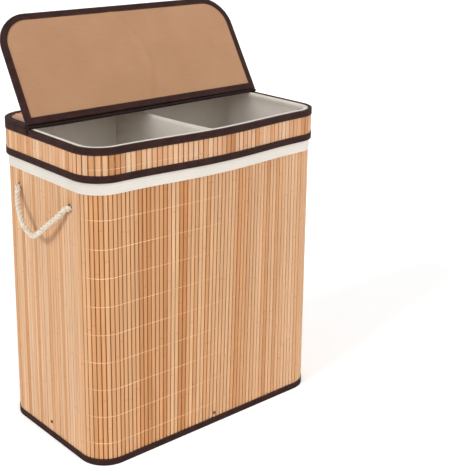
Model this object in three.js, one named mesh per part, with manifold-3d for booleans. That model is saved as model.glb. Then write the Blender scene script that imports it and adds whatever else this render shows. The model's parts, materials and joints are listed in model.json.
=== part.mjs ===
// Laundry hamper with two bins: a slatted body, a cloth liner with a divider, and a lift-off cap with a lid.
// Millimetres, +Z up, the origin on the floor under the middle of the body, the front towards -Y.
import * as THREE from 'three';
import { mergeVertices } from 'three/addons/utils/BufferGeometryUtils.js';
import Module from 'manifold-3d';

const wasm = await Module();
wasm.setup();

// The body's plan: the outer faces of the wall's slats at the floor.
const bodyWidth = 525;
const bodyDepth = 304;
const cornerRadius = 50;
const bellyAtRim = 13; // how far the long sides bulge out from the cuff up; they are straight at the floor
const rimHeight = 577;

// Clearances and counts that all pieces share.
const gap = 0.3; // between pieces that touch
const overrun = 5; // how far a cutter runs past what it cuts
const cornerSteps = 8;
const sideSteps = 8;
const roundSides = 8;
const bumpSides = 6;
const flatness = 0.001; // facets that lie this close to one plane become one

// Woven wall of slats, its inner hoop and its bottom edge.
const wallThickness = 3;
const wallSlatPitch = 8.4;
const wallGrooveWidth = 1.1;
const wallGrooveDepth = 0.8;
const wallTopBelowRim = 16;
const hoopThickness = 3;
const hoopHeight = 44;
const bindingThickness = 0.6;
const bindingWeb = 0.8;
const bottomBindingHeight = 13;

// Base: four battens tacked to the wall, and the board that lies on them.
const battenThickness = 12;
const battenHeight = 30;
const battenBottom = 8;
const battenEndGap = 12.5; // from a batten's ends to the plan's corners
const boardThickness = 3;
const tackHeadRadius = 3;
const tackHeadHeight = 1.4;
const tackShankRadius = 1;
const tackLength = 12;
const tackHoleClearance = 0.35;
const frontTackHeight = 21.5;
const sideTackHeight = 31;

// Liner: one cloth bag, folded over the hoop and down outside the wall, with a divider sewn in.
const clothThickness = 0.8;
const linerTopBelowRim = 1.2;
const cuffShow = 21; // cuff seen below the cap
const dividerThickness = 2.4;
const dividerFrontX = 8;
const dividerRearX = -4;
const dividerTopBelowRim = 6;
const dividerSag = 9;
const dividerSagSteps = 12;

// Cap: a board ring with a lath along its top, slats outside and cloth bindings at both edges.
const collarHeight = 59;
const collarBoardThickness = 1.2;
const collarLathHeight = 11.5;
const collarLathInset = 1.9; // how far the lath reaches in over the wall's slats
const collarSlatPitch = 10.4;
const collarSlatThickness = 1.2;
const collarGrooveWidth = 1.1;
const collarGrooveDepth = 0.5;
const collarTopBindingHeight = 12;
const collarBottomBindingHeight = 13;

// Lid and fixed rear panel: lining, board and slats in one edge binding.
const hingeY = 38;
const hingeRollRadius = 3.2;
const lidAngle = 121; // degrees that the lid stands open
const lidDepth = 211;
const lidCornerRadius = 62;
const panelThickness = 6.4;
const panelLiningThickness = 0.6;
const panelBoardThickness = 2.2;
const panelSlatThickness = 1.2;
const panelSlatPitch = 10.4;
const panelGrooveWidth = 1.1;
const panelGrooveDepth = 0.5;
const panelBindingWidth = 12.5;

// Rope handles, one on each end.
const ropeRadius = 5;
const ropeHoleClearance = 0.6;
const ropeHoleY = 83;
const ropeHoleBelowRim = 114;
const ropeOffWall = 0.6; // between the hanging rope's ends and the wall
const ropeSides = 8;
const ropeSteps = 14;
const knotRadius = 11;
const knotThickness = 13;
const knotRoom = 0.6; // between a knot and the cloth that bulges over it
// The rope's hanging route, from its front end to its middle: out from the wall, along it, and down.
const ropeRoute = [
  [5.6, 77.7, 0],
  [5.6, 74.5, 0],
  [12, 68.5, -12.5],
  [22, 47, -33],
  [27, 22, -54],
  [24, 0, -65],
];

const bamboo = new THREE.MeshStandardMaterial({ color: 0xddb089, roughness: 0.55, metalness: 0 });
const darkCloth = new THREE.MeshStandardMaterial({ color: 0x42352f, roughness: 0.85, metalness: 0 });
const paleCloth = new THREE.MeshStandardMaterial({ color: 0xdfdad4, roughness: 0.95, metalness: 0 });
const tanCloth = new THREE.MeshStandardMaterial({ color: 0xc39873, roughness: 0.9, metalness: 0 });
const board = new THREE.MeshStandardMaterial({ color: 0xb8976c, roughness: 0.75, metalness: 0 });
const rope = new THREE.MeshStandardMaterial({ color: 0xe9dcc4, roughness: 0.95, metalness: 0 });
const steel = new THREE.MeshStandardMaterial({ color: 0x6d5a4c, roughness: 0.45, metalness: 0.8 });

// Radial places, measured outwards from the outer faces of the wall's slats.
const wallInside = -wallThickness;
const hoopOutside = wallInside - gap;
const hoopInside = hoopOutside - hoopThickness;
const bagOutside = hoopInside - gap;
const bagInside = bagOutside - clothThickness;
const cuffInside = gap;
const cuffOutside = cuffInside + clothThickness;
const collarInside = cuffOutside + gap;
const collarBoardOutside = collarInside + collarBoardThickness;
const collarSlatInside = collarBoardOutside + gap;
const collarSlatOutside = collarSlatInside + collarSlatThickness;
const capBindingInside = collarSlatOutside + gap;
const capOutside = capBindingInside + bindingThickness;
const baseOutside = wallInside - 2 * gap - bindingThickness;

// Heights.
const wallBottom = bindingWeb + gap;
const wallTop = rimHeight - wallTopBelowRim;
const linerTop = rimHeight - linerTopBelowRim;
const hoopTop = linerTop - clothThickness - gap;
const collarBottom = rimHeight - collarHeight;
const collarCoreBottom = collarBottom + bindingWeb + gap;
const collarCoreTop = rimHeight - bindingWeb - gap;
const cuffBottom = collarBottom - cuffShow;
const wallCoverTop = wallTop + gap + clothThickness;
const boardBottom = battenBottom + battenHeight + gap;
const bagFloor = boardBottom + boardThickness + gap;
const bagFloorTop = bagFloor + clothThickness;
const ropeHoleHeight = rimHeight - ropeHoleBelowRim;
const hingeHeight = rimHeight + gap + panelThickness / 2;

const halfStraight = bodyWidth / 2 - cornerRadius;
const cornerArc = (cornerRadius * Math.PI) / 2;
const cornerCentres = [[1, 1], [-1, 1], [-1, -1], [1, -1]].map(
  ([right, rear]) => new THREE.Vector2(halfStraight * right, (bodyDepth / 2 - cornerRadius) * rear),
);
const planLength = 4 * cornerArc + 4 * halfStraight + 2 * (bodyDepth - 2 * cornerRadius);

// The open lid leans on the rear panel's front edge. This is how far behind the hinge line that edge stands.
const lidTurn = THREE.MathUtils.degToRad(lidAngle);
const rearPanelClearance = (panelThickness / 2) * Math.tan(lidTurn / 2) + gap / Math.sin(lidTurn);

const pieces = new THREE.Group();
const lid = new THREE.Group();

// How far the plan is stretched from front to back at a place, so that the long sides bulge. The bulge grows up
// to the cuff's lower edge, and stays the same from there to the rim.
// Between the outlines' own steps it runs straight, so that nested pieces keep their gaps.
function bellyShare(x, z) {
  const wave = (at) => (1 + Math.cos(Math.PI * Math.min(1, Math.abs(at)))) / 2;
  const steps = ((x / halfStraight + 1) * sideSteps) / 2;
  const before = Math.floor(steps);
  const at = (step) => wave((2 * step) / sideSteps - 1);
  const across = at(before) + (at(before + 1) - at(before)) * (steps - before);
  return (across * bellyAtRim * Math.min(1, z / cuffBottom)) / (bodyDepth / 2);
}

// Bulges a row of points of the plan at a height.
function bulgedRow(outline, z) {
  return outline.map(({ x, y }) => [x, y * (1 + bellyShare(x, z)), z]);
}

// The heights at which an upright solid has points: its ends, and the cuff's lower edge if it passes there.
function levels(bottom, top) {
  return bottom < cuffBottom && top > cuffBottom ? [bottom, cuffBottom, top] : [bottom, top];
}

// The body's plan moved outwards by an offset: four rounded corners joined by straight sides, anticlockwise.
function planOutline(offset) {
  const radius = cornerRadius + offset;
  const halfX = bodyWidth / 2 + offset;
  const halfY = bodyDepth / 2 + offset;
  return roundedOutline(halfX, [-halfY, radius, sideSteps], [halfY, radius, sideSteps]);
}

// An outline of given half width from its front edge to its rear edge, each with its corner radius and steps.
function roundedOutline(halfX, [front, frontRadius, frontSteps], [rear, rearRadius, rearSteps]) {
  const points = [];
  const corner = (x, y, radius, start) => {
    const steps = radius > 0 ? cornerSteps : 0;
    for (let i = 0; i <= steps; i++) {
      const angle = start + (steps ? (i / steps) * (Math.PI / 2) : 0);
      points.push(new THREE.Vector2(x + radius * Math.cos(angle), y + radius * Math.sin(angle)));
    }
  };
  const side = (y, fromX, toX, steps) => {
    for (let i = 1; i < steps; i++) points.push(new THREE.Vector2(fromX + (toX - fromX) * (i / steps), y));
  };
  corner(halfX - rearRadius, rear - rearRadius, rearRadius, 0);
  side(rear, halfX - rearRadius, rearRadius - halfX, rearSteps);
  corner(rearRadius - halfX, rear - rearRadius, rearRadius, Math.PI / 2);
  corner(frontRadius - halfX, front + frontRadius, frontRadius, Math.PI);
  side(front, frontRadius - halfX, halfX - frontRadius, frontSteps);
  corner(halfX - frontRadius, front + frontRadius, frontRadius, (3 * Math.PI) / 2);
  return points;
}

// A point at a distance along the body's plan, moved outwards by an offset. Its corners are true arcs here.
function pointAlong(distance, offset) {
  let left = distance % planLength;
  for (let k = 0; ; k++) {
    const facing = (k * Math.PI) / 2;
    const from = cornerCentres[(k + 3) % 4];
    const to = cornerCentres[k % 4];
    const side = from.distanceTo(to);
    const onSide = left <= side;
    if (onSide || left <= side + cornerArc) {
      const angle = onSide ? facing : facing + (left - side) / cornerRadius;
      const outwards = new THREE.Vector2(Math.cos(angle), Math.sin(angle));
      const centre = onSide ? from.clone().lerp(to, left / side) : to.clone();
      return centre.addScaledVector(outwards, cornerRadius + offset);
    }
    left -= side + cornerArc;
  }
}

// Facets between two closed rows of points. They face out where the rows run anticlockwise, the second above.
// Each four corners are split so that the cut rises along the row, also where the second row is the lower one:
// the two faces of a thin sheet are then split alike, and stay apart where the sheet twists.
function between(points, from, to, count) {
  const facets = [];
  for (let i = 0; i < count; i++) {
    const next = (i + 1) % count;
    if (points[from + i][2] > points[to + i][2]) {
      facets.push(from + i, from + next, to + i, from + next, to + next, to + i);
    } else {
      facets.push(from + i, from + next, to + next, from + i, to + next, to + i);
    }
  }
  return facets;
}

function facetted(points, facets) {
  const geometry = new THREE.BufferGeometry();
  geometry.setAttribute('position', new THREE.Float32BufferAttribute(points.flat(), 3));
  return geometry.setIndex(facets);
}

// A band of slats round the body, each with a flat face and a groove to the next, plain inside.
function slattedBand({ outside, inside, pitch, grooveWidth, grooveDepth, bottom, top }) {
  const count = Math.round(planLength / pitch);
  const step = planLength / count;
  const slats = Array.from({ length: count }, (_, i) => i * step);
  const outer = slats.flatMap((start) => [
    pointAlong(start, outside - grooveDepth),
    pointAlong(start + grooveWidth / 2, outside),
    pointAlong(start + step - grooveWidth / 2, outside),
  ]);
  const inner = slats.map((start) => pointAlong(start, inside));
  const rows = levels(bottom, top).flatMap((z) => [bulgedRow(outer, z), bulgedRow(inner, z)]);
  const points = rows.flat();
  const outerRow = (level) => level * (outer.length + count);
  const innerRow = (level) => outerRow(level) + outer.length;
  const facets = [];
  const last = rows.length / 2 - 1;
  for (let level = 0; level < last; level++) {
    facets.push(...between(points, outerRow(level), outerRow(level + 1), outer.length));
    facets.push(...between(points, innerRow(level + 1), innerRow(level), count));
  }
  for (let i = 0; i < count; i++) {
    const next = (i + 1) % count;
    const face = [3 * i, 3 * i + 1, 3 * i + 2, 3 * next];
    const cap = (level) => {
      const [a, b, c, d] = face.map((point) => outerRow(level) + point);
      const [near, far] = [innerRow(level) + i, innerRow(level) + next];
      return [a, b, near, b, c, near, c, far, near, c, d, far];
    };
    facets.push(...cap(last), ...cap(0).reverse());
  }
  return facetted(points, facets);
}

// A band round an outline. Its section is a list of points [offset, height], anticlockwise with the outside on
// the right, and rowAt(offset, height) gives the closed row of points through each of them.
function swept(section, rowAt) {
  const rows = section.map(([offset, z]) => rowAt(offset, z));
  const points = rows.flat();
  const count = rows[0].length;
  const facets = rows.flatMap((_, i) => between(points, i * count, ((i + 1) % rows.length) * count, count));
  return toGeometry(toSolid(facetted(points, facets)));
}

function bodyRow(offset, z) {
  return bulgedRow(planOutline(offset), z);
}

// Adds a point to a section wherever it passes the cuff's lower edge.
function levelled(section) {
  return section.flatMap(([offset, z], i) => {
    const [lastOffset, lastZ] = section[Math.max(i - 1, 0)];
    const crosses = (z - cuffBottom) * (lastZ - cuffBottom) < 0;
    const share = (cuffBottom - lastZ) / (z - lastZ);
    return crosses ? [[lastOffset + (offset - lastOffset) * share, cuffBottom], [offset, z]] : [[offset, z]];
  });
}

// A band round the body.
function aroundBody(section) {
  return swept(levelled([...section, section[0]]).slice(0, -1), bodyRow);
}

// A solid round the body whose section starts and ends in two floors, fanned out from the middle.
function filled(section) {
  const rows = levelled(section).map(([offset, z]) => bodyRow(offset, z));
  const points = [[0, 0, section[0][1]], ...rows.flat(), [0, 0, section[section.length - 1][1]]];
  const count = rows[0].length;
  const row = (level) => 1 + level * count;
  const last = rows.length - 1;
  const facets = [];
  for (let level = 0; level < last; level++) facets.push(...between(points, row(level), row(level + 1), count));
  for (let i = 0; i < count; i++) {
    const next = (i + 1) % count;
    facets.push(0, row(0) + next, row(0) + i, points.length - 1, row(last) + i, row(last) + next);
  }
  return facetted(points, facets);
}

function toSolid(geometry) {
  const bare = geometry.clone();
  bare.deleteAttribute('normal');
  bare.deleteAttribute('uv');
  const merged = mergeVertices(bare, 1e-4);
  return new wasm.Manifold(new wasm.Mesh({
    numProp: 3,
    vertProperties: merged.attributes.position.array,
    triVerts: Uint32Array.from(merged.index.array),
  }));
}

function toGeometry(solid) {
  const mesh = solid.simplify(flatness).getMesh();
  const geometry = new THREE.BufferGeometry();
  geometry.setAttribute('position', new THREE.BufferAttribute(Float32Array.from(mesh.vertProperties), 3));
  geometry.setIndex(new THREE.BufferAttribute(Uint32Array.from(mesh.triVerts), 1));
  return geometry;
}

function joined(...geometries) {
  return geometries.map(toSolid).reduce((all, solid) => all.add(solid));
}

function cutFrom(solid, ...geometries) {
  return geometries.map(toSolid).reduce((left, cutter) => left.subtract(cutter), solid);
}

function place(name, geometry, material, parent = pieces) {
  const indexed = geometry.index ? geometry.toNonIndexed() : geometry;
  indexed.computeVertexNormals();
  const mesh = new THREE.Mesh(indexed, material);
  mesh.name = name;
  parent.add(mesh);
  return mesh;
}

function cylinderAlongX(radius, fromX, toX, y, z) {
  const geometry = new THREE.CylinderGeometry(radius, radius, Math.abs(toX - fromX), roundSides);
  return geometry.rotateZ(Math.PI / 2).translate((fromX + toX) / 2, y, z);
}

// Where each tack goes in: its side of the plan, and the outward direction there.
const bulgedDepth = (bodyDepth / 2) * (1 + bellyShare(0, frontTackHeight));
const tacks = [
  { name: 'front', x: 0, y: -bulgedDepth, turn: -Math.PI / 2, height: frontTackHeight },
  { name: 'rear', x: 0, y: bulgedDepth, turn: Math.PI / 2, height: frontTackHeight },
  { name: 'left', x: -bodyWidth / 2, y: 0, turn: Math.PI, height: sideTackHeight },
  { name: 'right', x: bodyWidth / 2, y: 0, turn: 0, height: sideTackHeight },
];

// A tack's hole, from outside the wall to its own depth.
function tackHole({ x, y, turn, height }) {
  const radius = tackShankRadius + tackHoleClearance;
  const depth = tackLength + gap;
  const geometry = new THREE.CylinderGeometry(radius, radius, depth + overrun, roundSides);
  geometry.rotateZ(-Math.PI / 2).translate((overrun - depth) / 2, 0, 0);
  return geometry.rotateZ(turn).translate(x, y, height);
}

function ropeHole(side, y) {
  const radius = ropeRadius + ropeHoleClearance;
  const outer = bodyWidth / 2;
  const inner = outer - wallThickness;
  return cylinderAlongX(radius, (outer + overrun) * side, (inner - overrun) * side, y, ropeHoleHeight);
}

const ropeHoles = [-1, 1].flatMap((side) => [-1, 1].map((end) => ({ side, y: end * ropeHoleY })));

function makeWall() {
  const sheet = slattedBand({
    outside: 0,
    inside: wallInside,
    pitch: wallSlatPitch,
    grooveWidth: wallGrooveWidth,
    grooveDepth: wallGrooveDepth,
    bottom: wallBottom,
    top: wallTop,
  });
  const holes = [...tacks.map(tackHole), ...ropeHoles.map(({ side, y }) => ropeHole(side, y))];
  place('wall_slats', toGeometry(cutFrom(toSolid(sheet), ...holes)), bamboo);
  const hoopBottom = hoopTop - hoopHeight;
  const hoop = [
    [hoopInside, hoopBottom],
    [hoopOutside, hoopBottom],
    [hoopOutside, hoopTop],
    [hoopInside, hoopTop],
  ];
  place('rim_hoop', aroundBody(hoop), board);
}

// A cloth channel over the wall's lower edge; the hamper stands on it.
function makeBottomBinding() {
  const outside = gap + bindingThickness;
  const inside = wallInside - outside;
  const section = [
    [inside, 0],
    [outside, 0],
    [outside, bottomBindingHeight],
    [gap, bottomBindingHeight],
    [gap, bindingWeb],
    [wallInside - gap, bindingWeb],
    [wallInside - gap, bottomBindingHeight],
    [inside, bottomBindingHeight],
  ];
  place('bottom_binding', aroundBody(section), darkCloth);
}

function makeBase() {
  const middleZ = battenBottom + battenHeight / 2;
  const acrossX = bodyWidth / 2 + baseOutside - battenThickness / 2;
  const acrossY = bodyDepth / 2 + baseOutside - battenThickness / 2;
  const alongX = bodyWidth - 2 * (cornerRadius + battenEndGap);
  const alongY = bodyDepth - 2 * (cornerRadius + battenEndGap);
  const battens = {
    front: { size: [alongX, battenThickness], at: [0, -acrossY] },
    rear: { size: [alongX, battenThickness], at: [0, acrossY] },
    left: { size: [battenThickness, alongY], at: [-acrossX, 0] },
    right: { size: [battenThickness, alongY], at: [acrossX, 0] },
  };
  for (const tack of tacks) {
    const { size, at } = battens[tack.name];
    const bar = new THREE.BoxGeometry(...size, battenHeight).translate(...at, middleZ);
    place(`batten_${tack.name}`, toGeometry(cutFrom(toSolid(bar), tackHole(tack))), board);
    place(`tack_${tack.name}`, tackGeometry(tack), steel);
  }
  const slab = [
    [baseOutside, boardBottom],
    [baseOutside, boardBottom + boardThickness],
  ];
  place('base_board', filled(slab), board);
}

// A tack: a domed head on the slats and a shank into the batten.
function tackGeometry({ x, y, turn, height }) {
  const tip = gap - tackLength;
  const corners = [[0, tip], [tackShankRadius, tip], [tackShankRadius, gap], [tackHeadRadius, gap]];
  const profile = corners.map((corner) => new THREE.Vector2(...corner));
  const domeSteps = 2;
  for (let i = 1; i <= domeSteps; i++) {
    const angle = (i / domeSteps) * (Math.PI / 2);
    profile.push(new THREE.Vector2(tackHeadRadius * Math.cos(angle), gap + tackHeadHeight * Math.sin(angle)));
  }
  profile[profile.length - 1].x = 0;
  const geometry = new THREE.LatheGeometry(profile, roundSides);
  return geometry.rotateZ(-Math.PI / 2).rotateZ(turn).translate(x, y, height);
}

// A ball round a rope knot, larger than the knot by a clearance.
function knotBall({ side, y }, clearance) {
  const facets = Math.cos(Math.PI / bumpSides);
  const alongX = (knotThickness / 2 + clearance) / facets;
  const across = (knotRadius + clearance) / facets;
  const geometry = new THREE.SphereGeometry(1, bumpSides, bumpSides).rotateZ(Math.PI / 2);
  const middle = bodyWidth / 2 + wallInside - gap - knotThickness / 2;
  return geometry.scale(alongX, across, across).translate(middle * side, y, ropeHoleHeight);
}

// The bag runs up inside the hoop, over it and down behind it, then over the wall's top and down outside it.
function makeLiner() {
  const foldOutside = -collarLathInset - gap;
  const foldInside = foldOutside - clothThickness;
  const section = [
    [bagOutside, bagFloor],
    [bagOutside, linerTop - clothThickness],
    [foldInside, linerTop - clothThickness],
    [foldInside, wallTop + gap],
    [cuffInside, wallTop + gap],
    [cuffInside, cuffBottom],
    [cuffOutside, cuffBottom],
    [cuffOutside, wallCoverTop],
    [foldOutside, wallCoverTop],
    [foldOutside, linerTop],
    [bagInside, linerTop],
    [bagInside, bagFloorTop],
  ];
  const middle = bagOutside - clothThickness / 2;
  const inner = toSolid(filled([[middle, bagFloor], [middle, linerTop]]));
  const bumps = ropeHoles.map((hole) => toSolid(knotBall(hole, knotRoom + clothThickness)).intersect(inner));
  const bag = bumps.reduce((all, bump) => all.add(bump), toSolid(filled(section)));
  const knotRooms = ropeHoles.map((hole) => knotBall(hole, knotRoom));
  place('liner_bag', toGeometry(cutFrom(bag, ...knotRooms)), paleCloth);
}

// The divider: an upright cloth panel from front to rear, its top edge sagging a little.
function makeDivider() {
  const bottom = bagFloorTop + gap;
  const top = rimHeight - dividerTopBelowRim;
  const turned = dividerThickness * dividerSkew(); // what the panel's ends need more, because it stands askew
  const halfAt = (z) => (bodyDepth / 2 + bagInside) * (1 + bellyShare(0, z)) - gap - turned;
  const shape = new THREE.Shape();
  shape.moveTo(-halfAt(bottom), bottom);
  shape.lineTo(halfAt(bottom), bottom);
  shape.lineTo(halfAt(cuffBottom), cuffBottom);
  for (let i = 0; i <= dividerSagSteps; i++) {
    const share = 1 - (2 * i) / dividerSagSteps;
    shape.lineTo(halfAt(top) * share, top - dividerSag * (1 - share * share));
  }
  shape.lineTo(-halfAt(cuffBottom), cuffBottom);
  const geometry = new THREE.ExtrudeGeometry(shape, { depth: dividerThickness, bevelEnabled: false });
  geometry.translate(0, 0, -dividerThickness / 2).rotateX(Math.PI / 2).rotateZ(Math.PI / 2);
  const panel = place('liner_divider', geometry, paleCloth);
  panel.position.x = (dividerFrontX + dividerRearX) / 2;
  panel.rotation.z = Math.atan(dividerSkew());
}

function dividerSkew() {
  return (dividerFrontX - dividerRearX) / bodyDepth;
}

// The cap's ring: a board with a lath inside its top edge, slats glued outside it, and a binding on each edge.
function makeCollar() {
  const lathBottom = collarCoreTop - collarLathHeight;
  const core = [
    [collarInside, collarCoreBottom],
    [collarBoardOutside, collarCoreBottom],
    [collarBoardOutside, collarCoreTop],
    [-collarLathInset, collarCoreTop],
    [-collarLathInset, lathBottom],
    [collarInside, lathBottom],
  ];
  place('collar_board', aroundBody(core), board);

  const slats = slattedBand({
    outside: collarSlatOutside,
    inside: collarSlatInside,
    pitch: collarSlatPitch,
    grooveWidth: collarGrooveWidth,
    grooveDepth: collarGrooveDepth,
    bottom: collarCoreBottom,
    top: collarCoreTop,
  });
  place('collar_slats', slats, bamboo);

  const topEdge = [
    [-collarLathInset, rimHeight - bindingWeb],
    [capBindingInside, rimHeight - bindingWeb],
    [capBindingInside, rimHeight - collarTopBindingHeight],
    [capOutside, rimHeight - collarTopBindingHeight],
    [capOutside, rimHeight],
    [-collarLathInset, rimHeight],
  ];
  place('collar_top_binding', aroundBody(topEdge), darkCloth);

  const lowEdge = [
    [collarInside, collarBottom],
    [capOutside, collarBottom],
    [capOutside, collarBottom + collarBottomBindingHeight],
    [capBindingInside, collarBottom + collarBottomBindingHeight],
    [capBindingInside, collarBottom + bindingWeb],
    [collarInside, collarBottom + bindingWeb],
  ];
  place('collar_bottom_binding', aroundBody(lowEdge), darkCloth);
}

// A lid or rear panel lying flat at a height: outline(offset) gives its plan with the edges moved out.
function makePanel(name, outline, frontToRear, parent, height) {
  const half = panelThickness / 2;
  const cavity = half - bindingThickness;
  const face = cavity - gap;
  const core = -bindingThickness - gap;
  const layer = (offset, bottom, top) => {
    const depth = top - bottom;
    const sheet = new THREE.ExtrudeGeometry(new THREE.Shape(outline(offset)), { depth, bevelEnabled: false });
    return sheet.translate(0, 0, height + bottom);
  };
  const edge = [
    [-panelBindingWidth, -half],
    [0, -half],
    [0, half],
    [-panelBindingWidth, half],
    [-panelBindingWidth, cavity],
    [-bindingThickness, cavity],
    [-bindingThickness, -cavity],
    [-panelBindingWidth, -cavity],
  ];
  const rowAt = (offset, z) => outline(offset).map(({ x, y }) => [x, y, z + height]);
  place(`${name}_binding`, swept(edge, rowAt), darkCloth, parent);

  const liningTop = panelLiningThickness - face;
  const boardBase = liningTop + gap;
  place(`${name}_lining`, layer(core, -face, liningTop), tanCloth, parent);
  place(`${name}_board`, layer(core, boardBase, boardBase + panelBoardThickness), board, parent);

  const slats = toSolid(panelSlats(face, frontToRear).translate(0, 0, height));
  place(`${name}_slats`, toGeometry(slats.intersect(toSolid(layer(core, -face, face)))), bamboo, parent);
}

// Slats side by side along X, each running from front to rear, their faces at a height.
function panelSlats(face, [front, rear]) {
  const width = bodyWidth + 2 * capOutside;
  const count = Math.round(width / panelSlatPitch);
  const step = width / count;
  const shape = new THREE.Shape();
  shape.moveTo(-width / 2, face - panelSlatThickness);
  shape.lineTo(width / 2, face - panelSlatThickness);
  for (let i = count; i > 0; i--) {
    const right = i * step - width / 2;
    shape.lineTo(right, face - panelGrooveDepth);
    shape.lineTo(right - panelGrooveWidth / 2, face);
    shape.lineTo(right - step + panelGrooveWidth / 2, face);
  }
  shape.lineTo(-width / 2, face - panelGrooveDepth);
  const geometry = new THREE.ExtrudeGeometry(shape, { depth: rear - front, bevelEnabled: false });
  return geometry.rotateX(Math.PI / 2).translate(0, rear, 0);
}

function makeLid() {
  const rear = -hingeRollRadius - gap;
  const halfX = bodyWidth / 2 + capOutside;
  const outline = (offset) =>
    roundedOutline(halfX + offset, [-lidDepth - offset, lidCornerRadius + offset, 1], [rear + offset, 0, 1]);
  makePanel('lid', outline, [-lidDepth, rear], lid, 0);
  place('hinge_roll', cylinderAlongX(hingeRollRadius, -halfX, halfX, 0, 0), darkCloth, lid);
  lid.position.set(0, hingeY, hingeHeight);
  lid.rotation.x = -lidTurn;
  pieces.add(lid);
}

// The rear panel closes the cap's back part. Its rear edge follows the collar and its front edge is straight.
function makeRearPanel() {
  const front = hingeY + rearPanelClearance;
  const rear = bodyDepth / 2 + capOutside;
  const halfX = bodyWidth / 2 + capOutside;
  const radius = cornerRadius + capOutside;
  const depth = rear - front;
  const outline = (offset) => {
    const rearEdge = [rear + offset, radius + offset, sideSteps];
    const points = roundedOutline(halfX + offset, [front - offset, 0, 1], rearEdge);
    points.forEach((point) => {
      point.y += (bellyShare(point.x, rimHeight) * rear * (point.y - front)) / depth;
    });
    return points;
  };
  makePanel('rear_panel', outline, [front, rear + bellyAtRim + overrun], pieces, hingeHeight);
}

// A rope's end: the knot inside the wall, the rope through the hole, and its turn towards the middle.
function makeKnot(side, y, name) {
  const reach = wallThickness + gap;
  const turn = ropeRadius + ropeOffWall;
  const corners = [[0, -turn], [ropeRadius, -turn], [ropeRadius, reach]];
  const profile = corners.map((corner) => new THREE.Vector2(...corner));
  const knotSteps = 5;
  const start = Math.asin(ropeRadius / knotRadius);
  for (let i = 0; i <= knotSteps; i++) {
    const angle = start + (i / knotSteps) * (Math.PI - start);
    const along = (knotThickness * (Math.cos(start) - Math.cos(angle))) / (1 + Math.cos(start));
    profile.push(new THREE.Vector2(knotRadius * Math.sin(angle), reach + along));
  }
  profile[profile.length - 1].x = 0;
  const knot = new THREE.LatheGeometry(profile, roundSides);
  knot.scale(1, -1, 1).index.array.reverse();
  knot.rotateZ(-Math.PI / 2);
  const bend = new THREE.SphereGeometry(ropeRadius, roundSides, roundSides / 2).translate(turn, 0, 0);
  const arm = new THREE.CylinderGeometry(ropeRadius, ropeRadius, ropeRadius, roundSides);
  arm.translate(turn, (-Math.sign(y) * ropeRadius) / 2, 0);
  const rightEnd = toGeometry(joined(knot, bend, arm));
  const end = side < 0 ? mirrored(rightEnd) : rightEnd;
  place(name, end.translate((bodyWidth / 2) * side, y, ropeHoleHeight), rope);
}

// A geometry mirrored from right to left.
function mirrored(geometry) {
  geometry.scale(-1, 1, 1).index.array.reverse();
  return geometry;
}

function makeHandle(side, name) {
  const wallX = (bodyWidth / 2) * side;
  const half = ropeRoute.map(([out, along, down]) => [out * side, along, down]);
  const route = [...half, ...half.slice(0, -1).reverse().map(([out, along, down]) => [out, -along, down])];
  const curve = new THREE.CatmullRomCurve3(
    route.map(([out, along, down]) => new THREE.Vector3(wallX + out, along, ropeHoleHeight + down)),
  );
  const section = new THREE.Shape();
  for (let i = 0; i < ropeSides; i++) {
    const angle = (i / ropeSides) * 2 * Math.PI;
    const point = [ropeRadius * Math.cos(angle), ropeRadius * Math.sin(angle)];
    if (i) section.lineTo(...point);
    else section.moveTo(...point);
  }
  place(name, new THREE.ExtrudeGeometry(section, { steps: ropeSteps, extrudePath: curve }), rope);
}

makeWall();
makeBottomBinding();
makeBase();
makeLiner();
makeDivider();
makeCollar();
makeRearPanel();
makeLid();
for (const { side, y } of ropeHoles) {
  makeKnot(side, y, `rope_knot_${side < 0 ? 'left' : 'right'}_${y < 0 ? 'front' : 'rear'}`);
}
makeHandle(-1, 'rope_handle_left');
makeHandle(1, 'rope_handle_right');

export default pieces;
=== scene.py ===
import json
import math

import bmesh
import bpy
from mathutils import Matrix, Vector, noise

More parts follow.
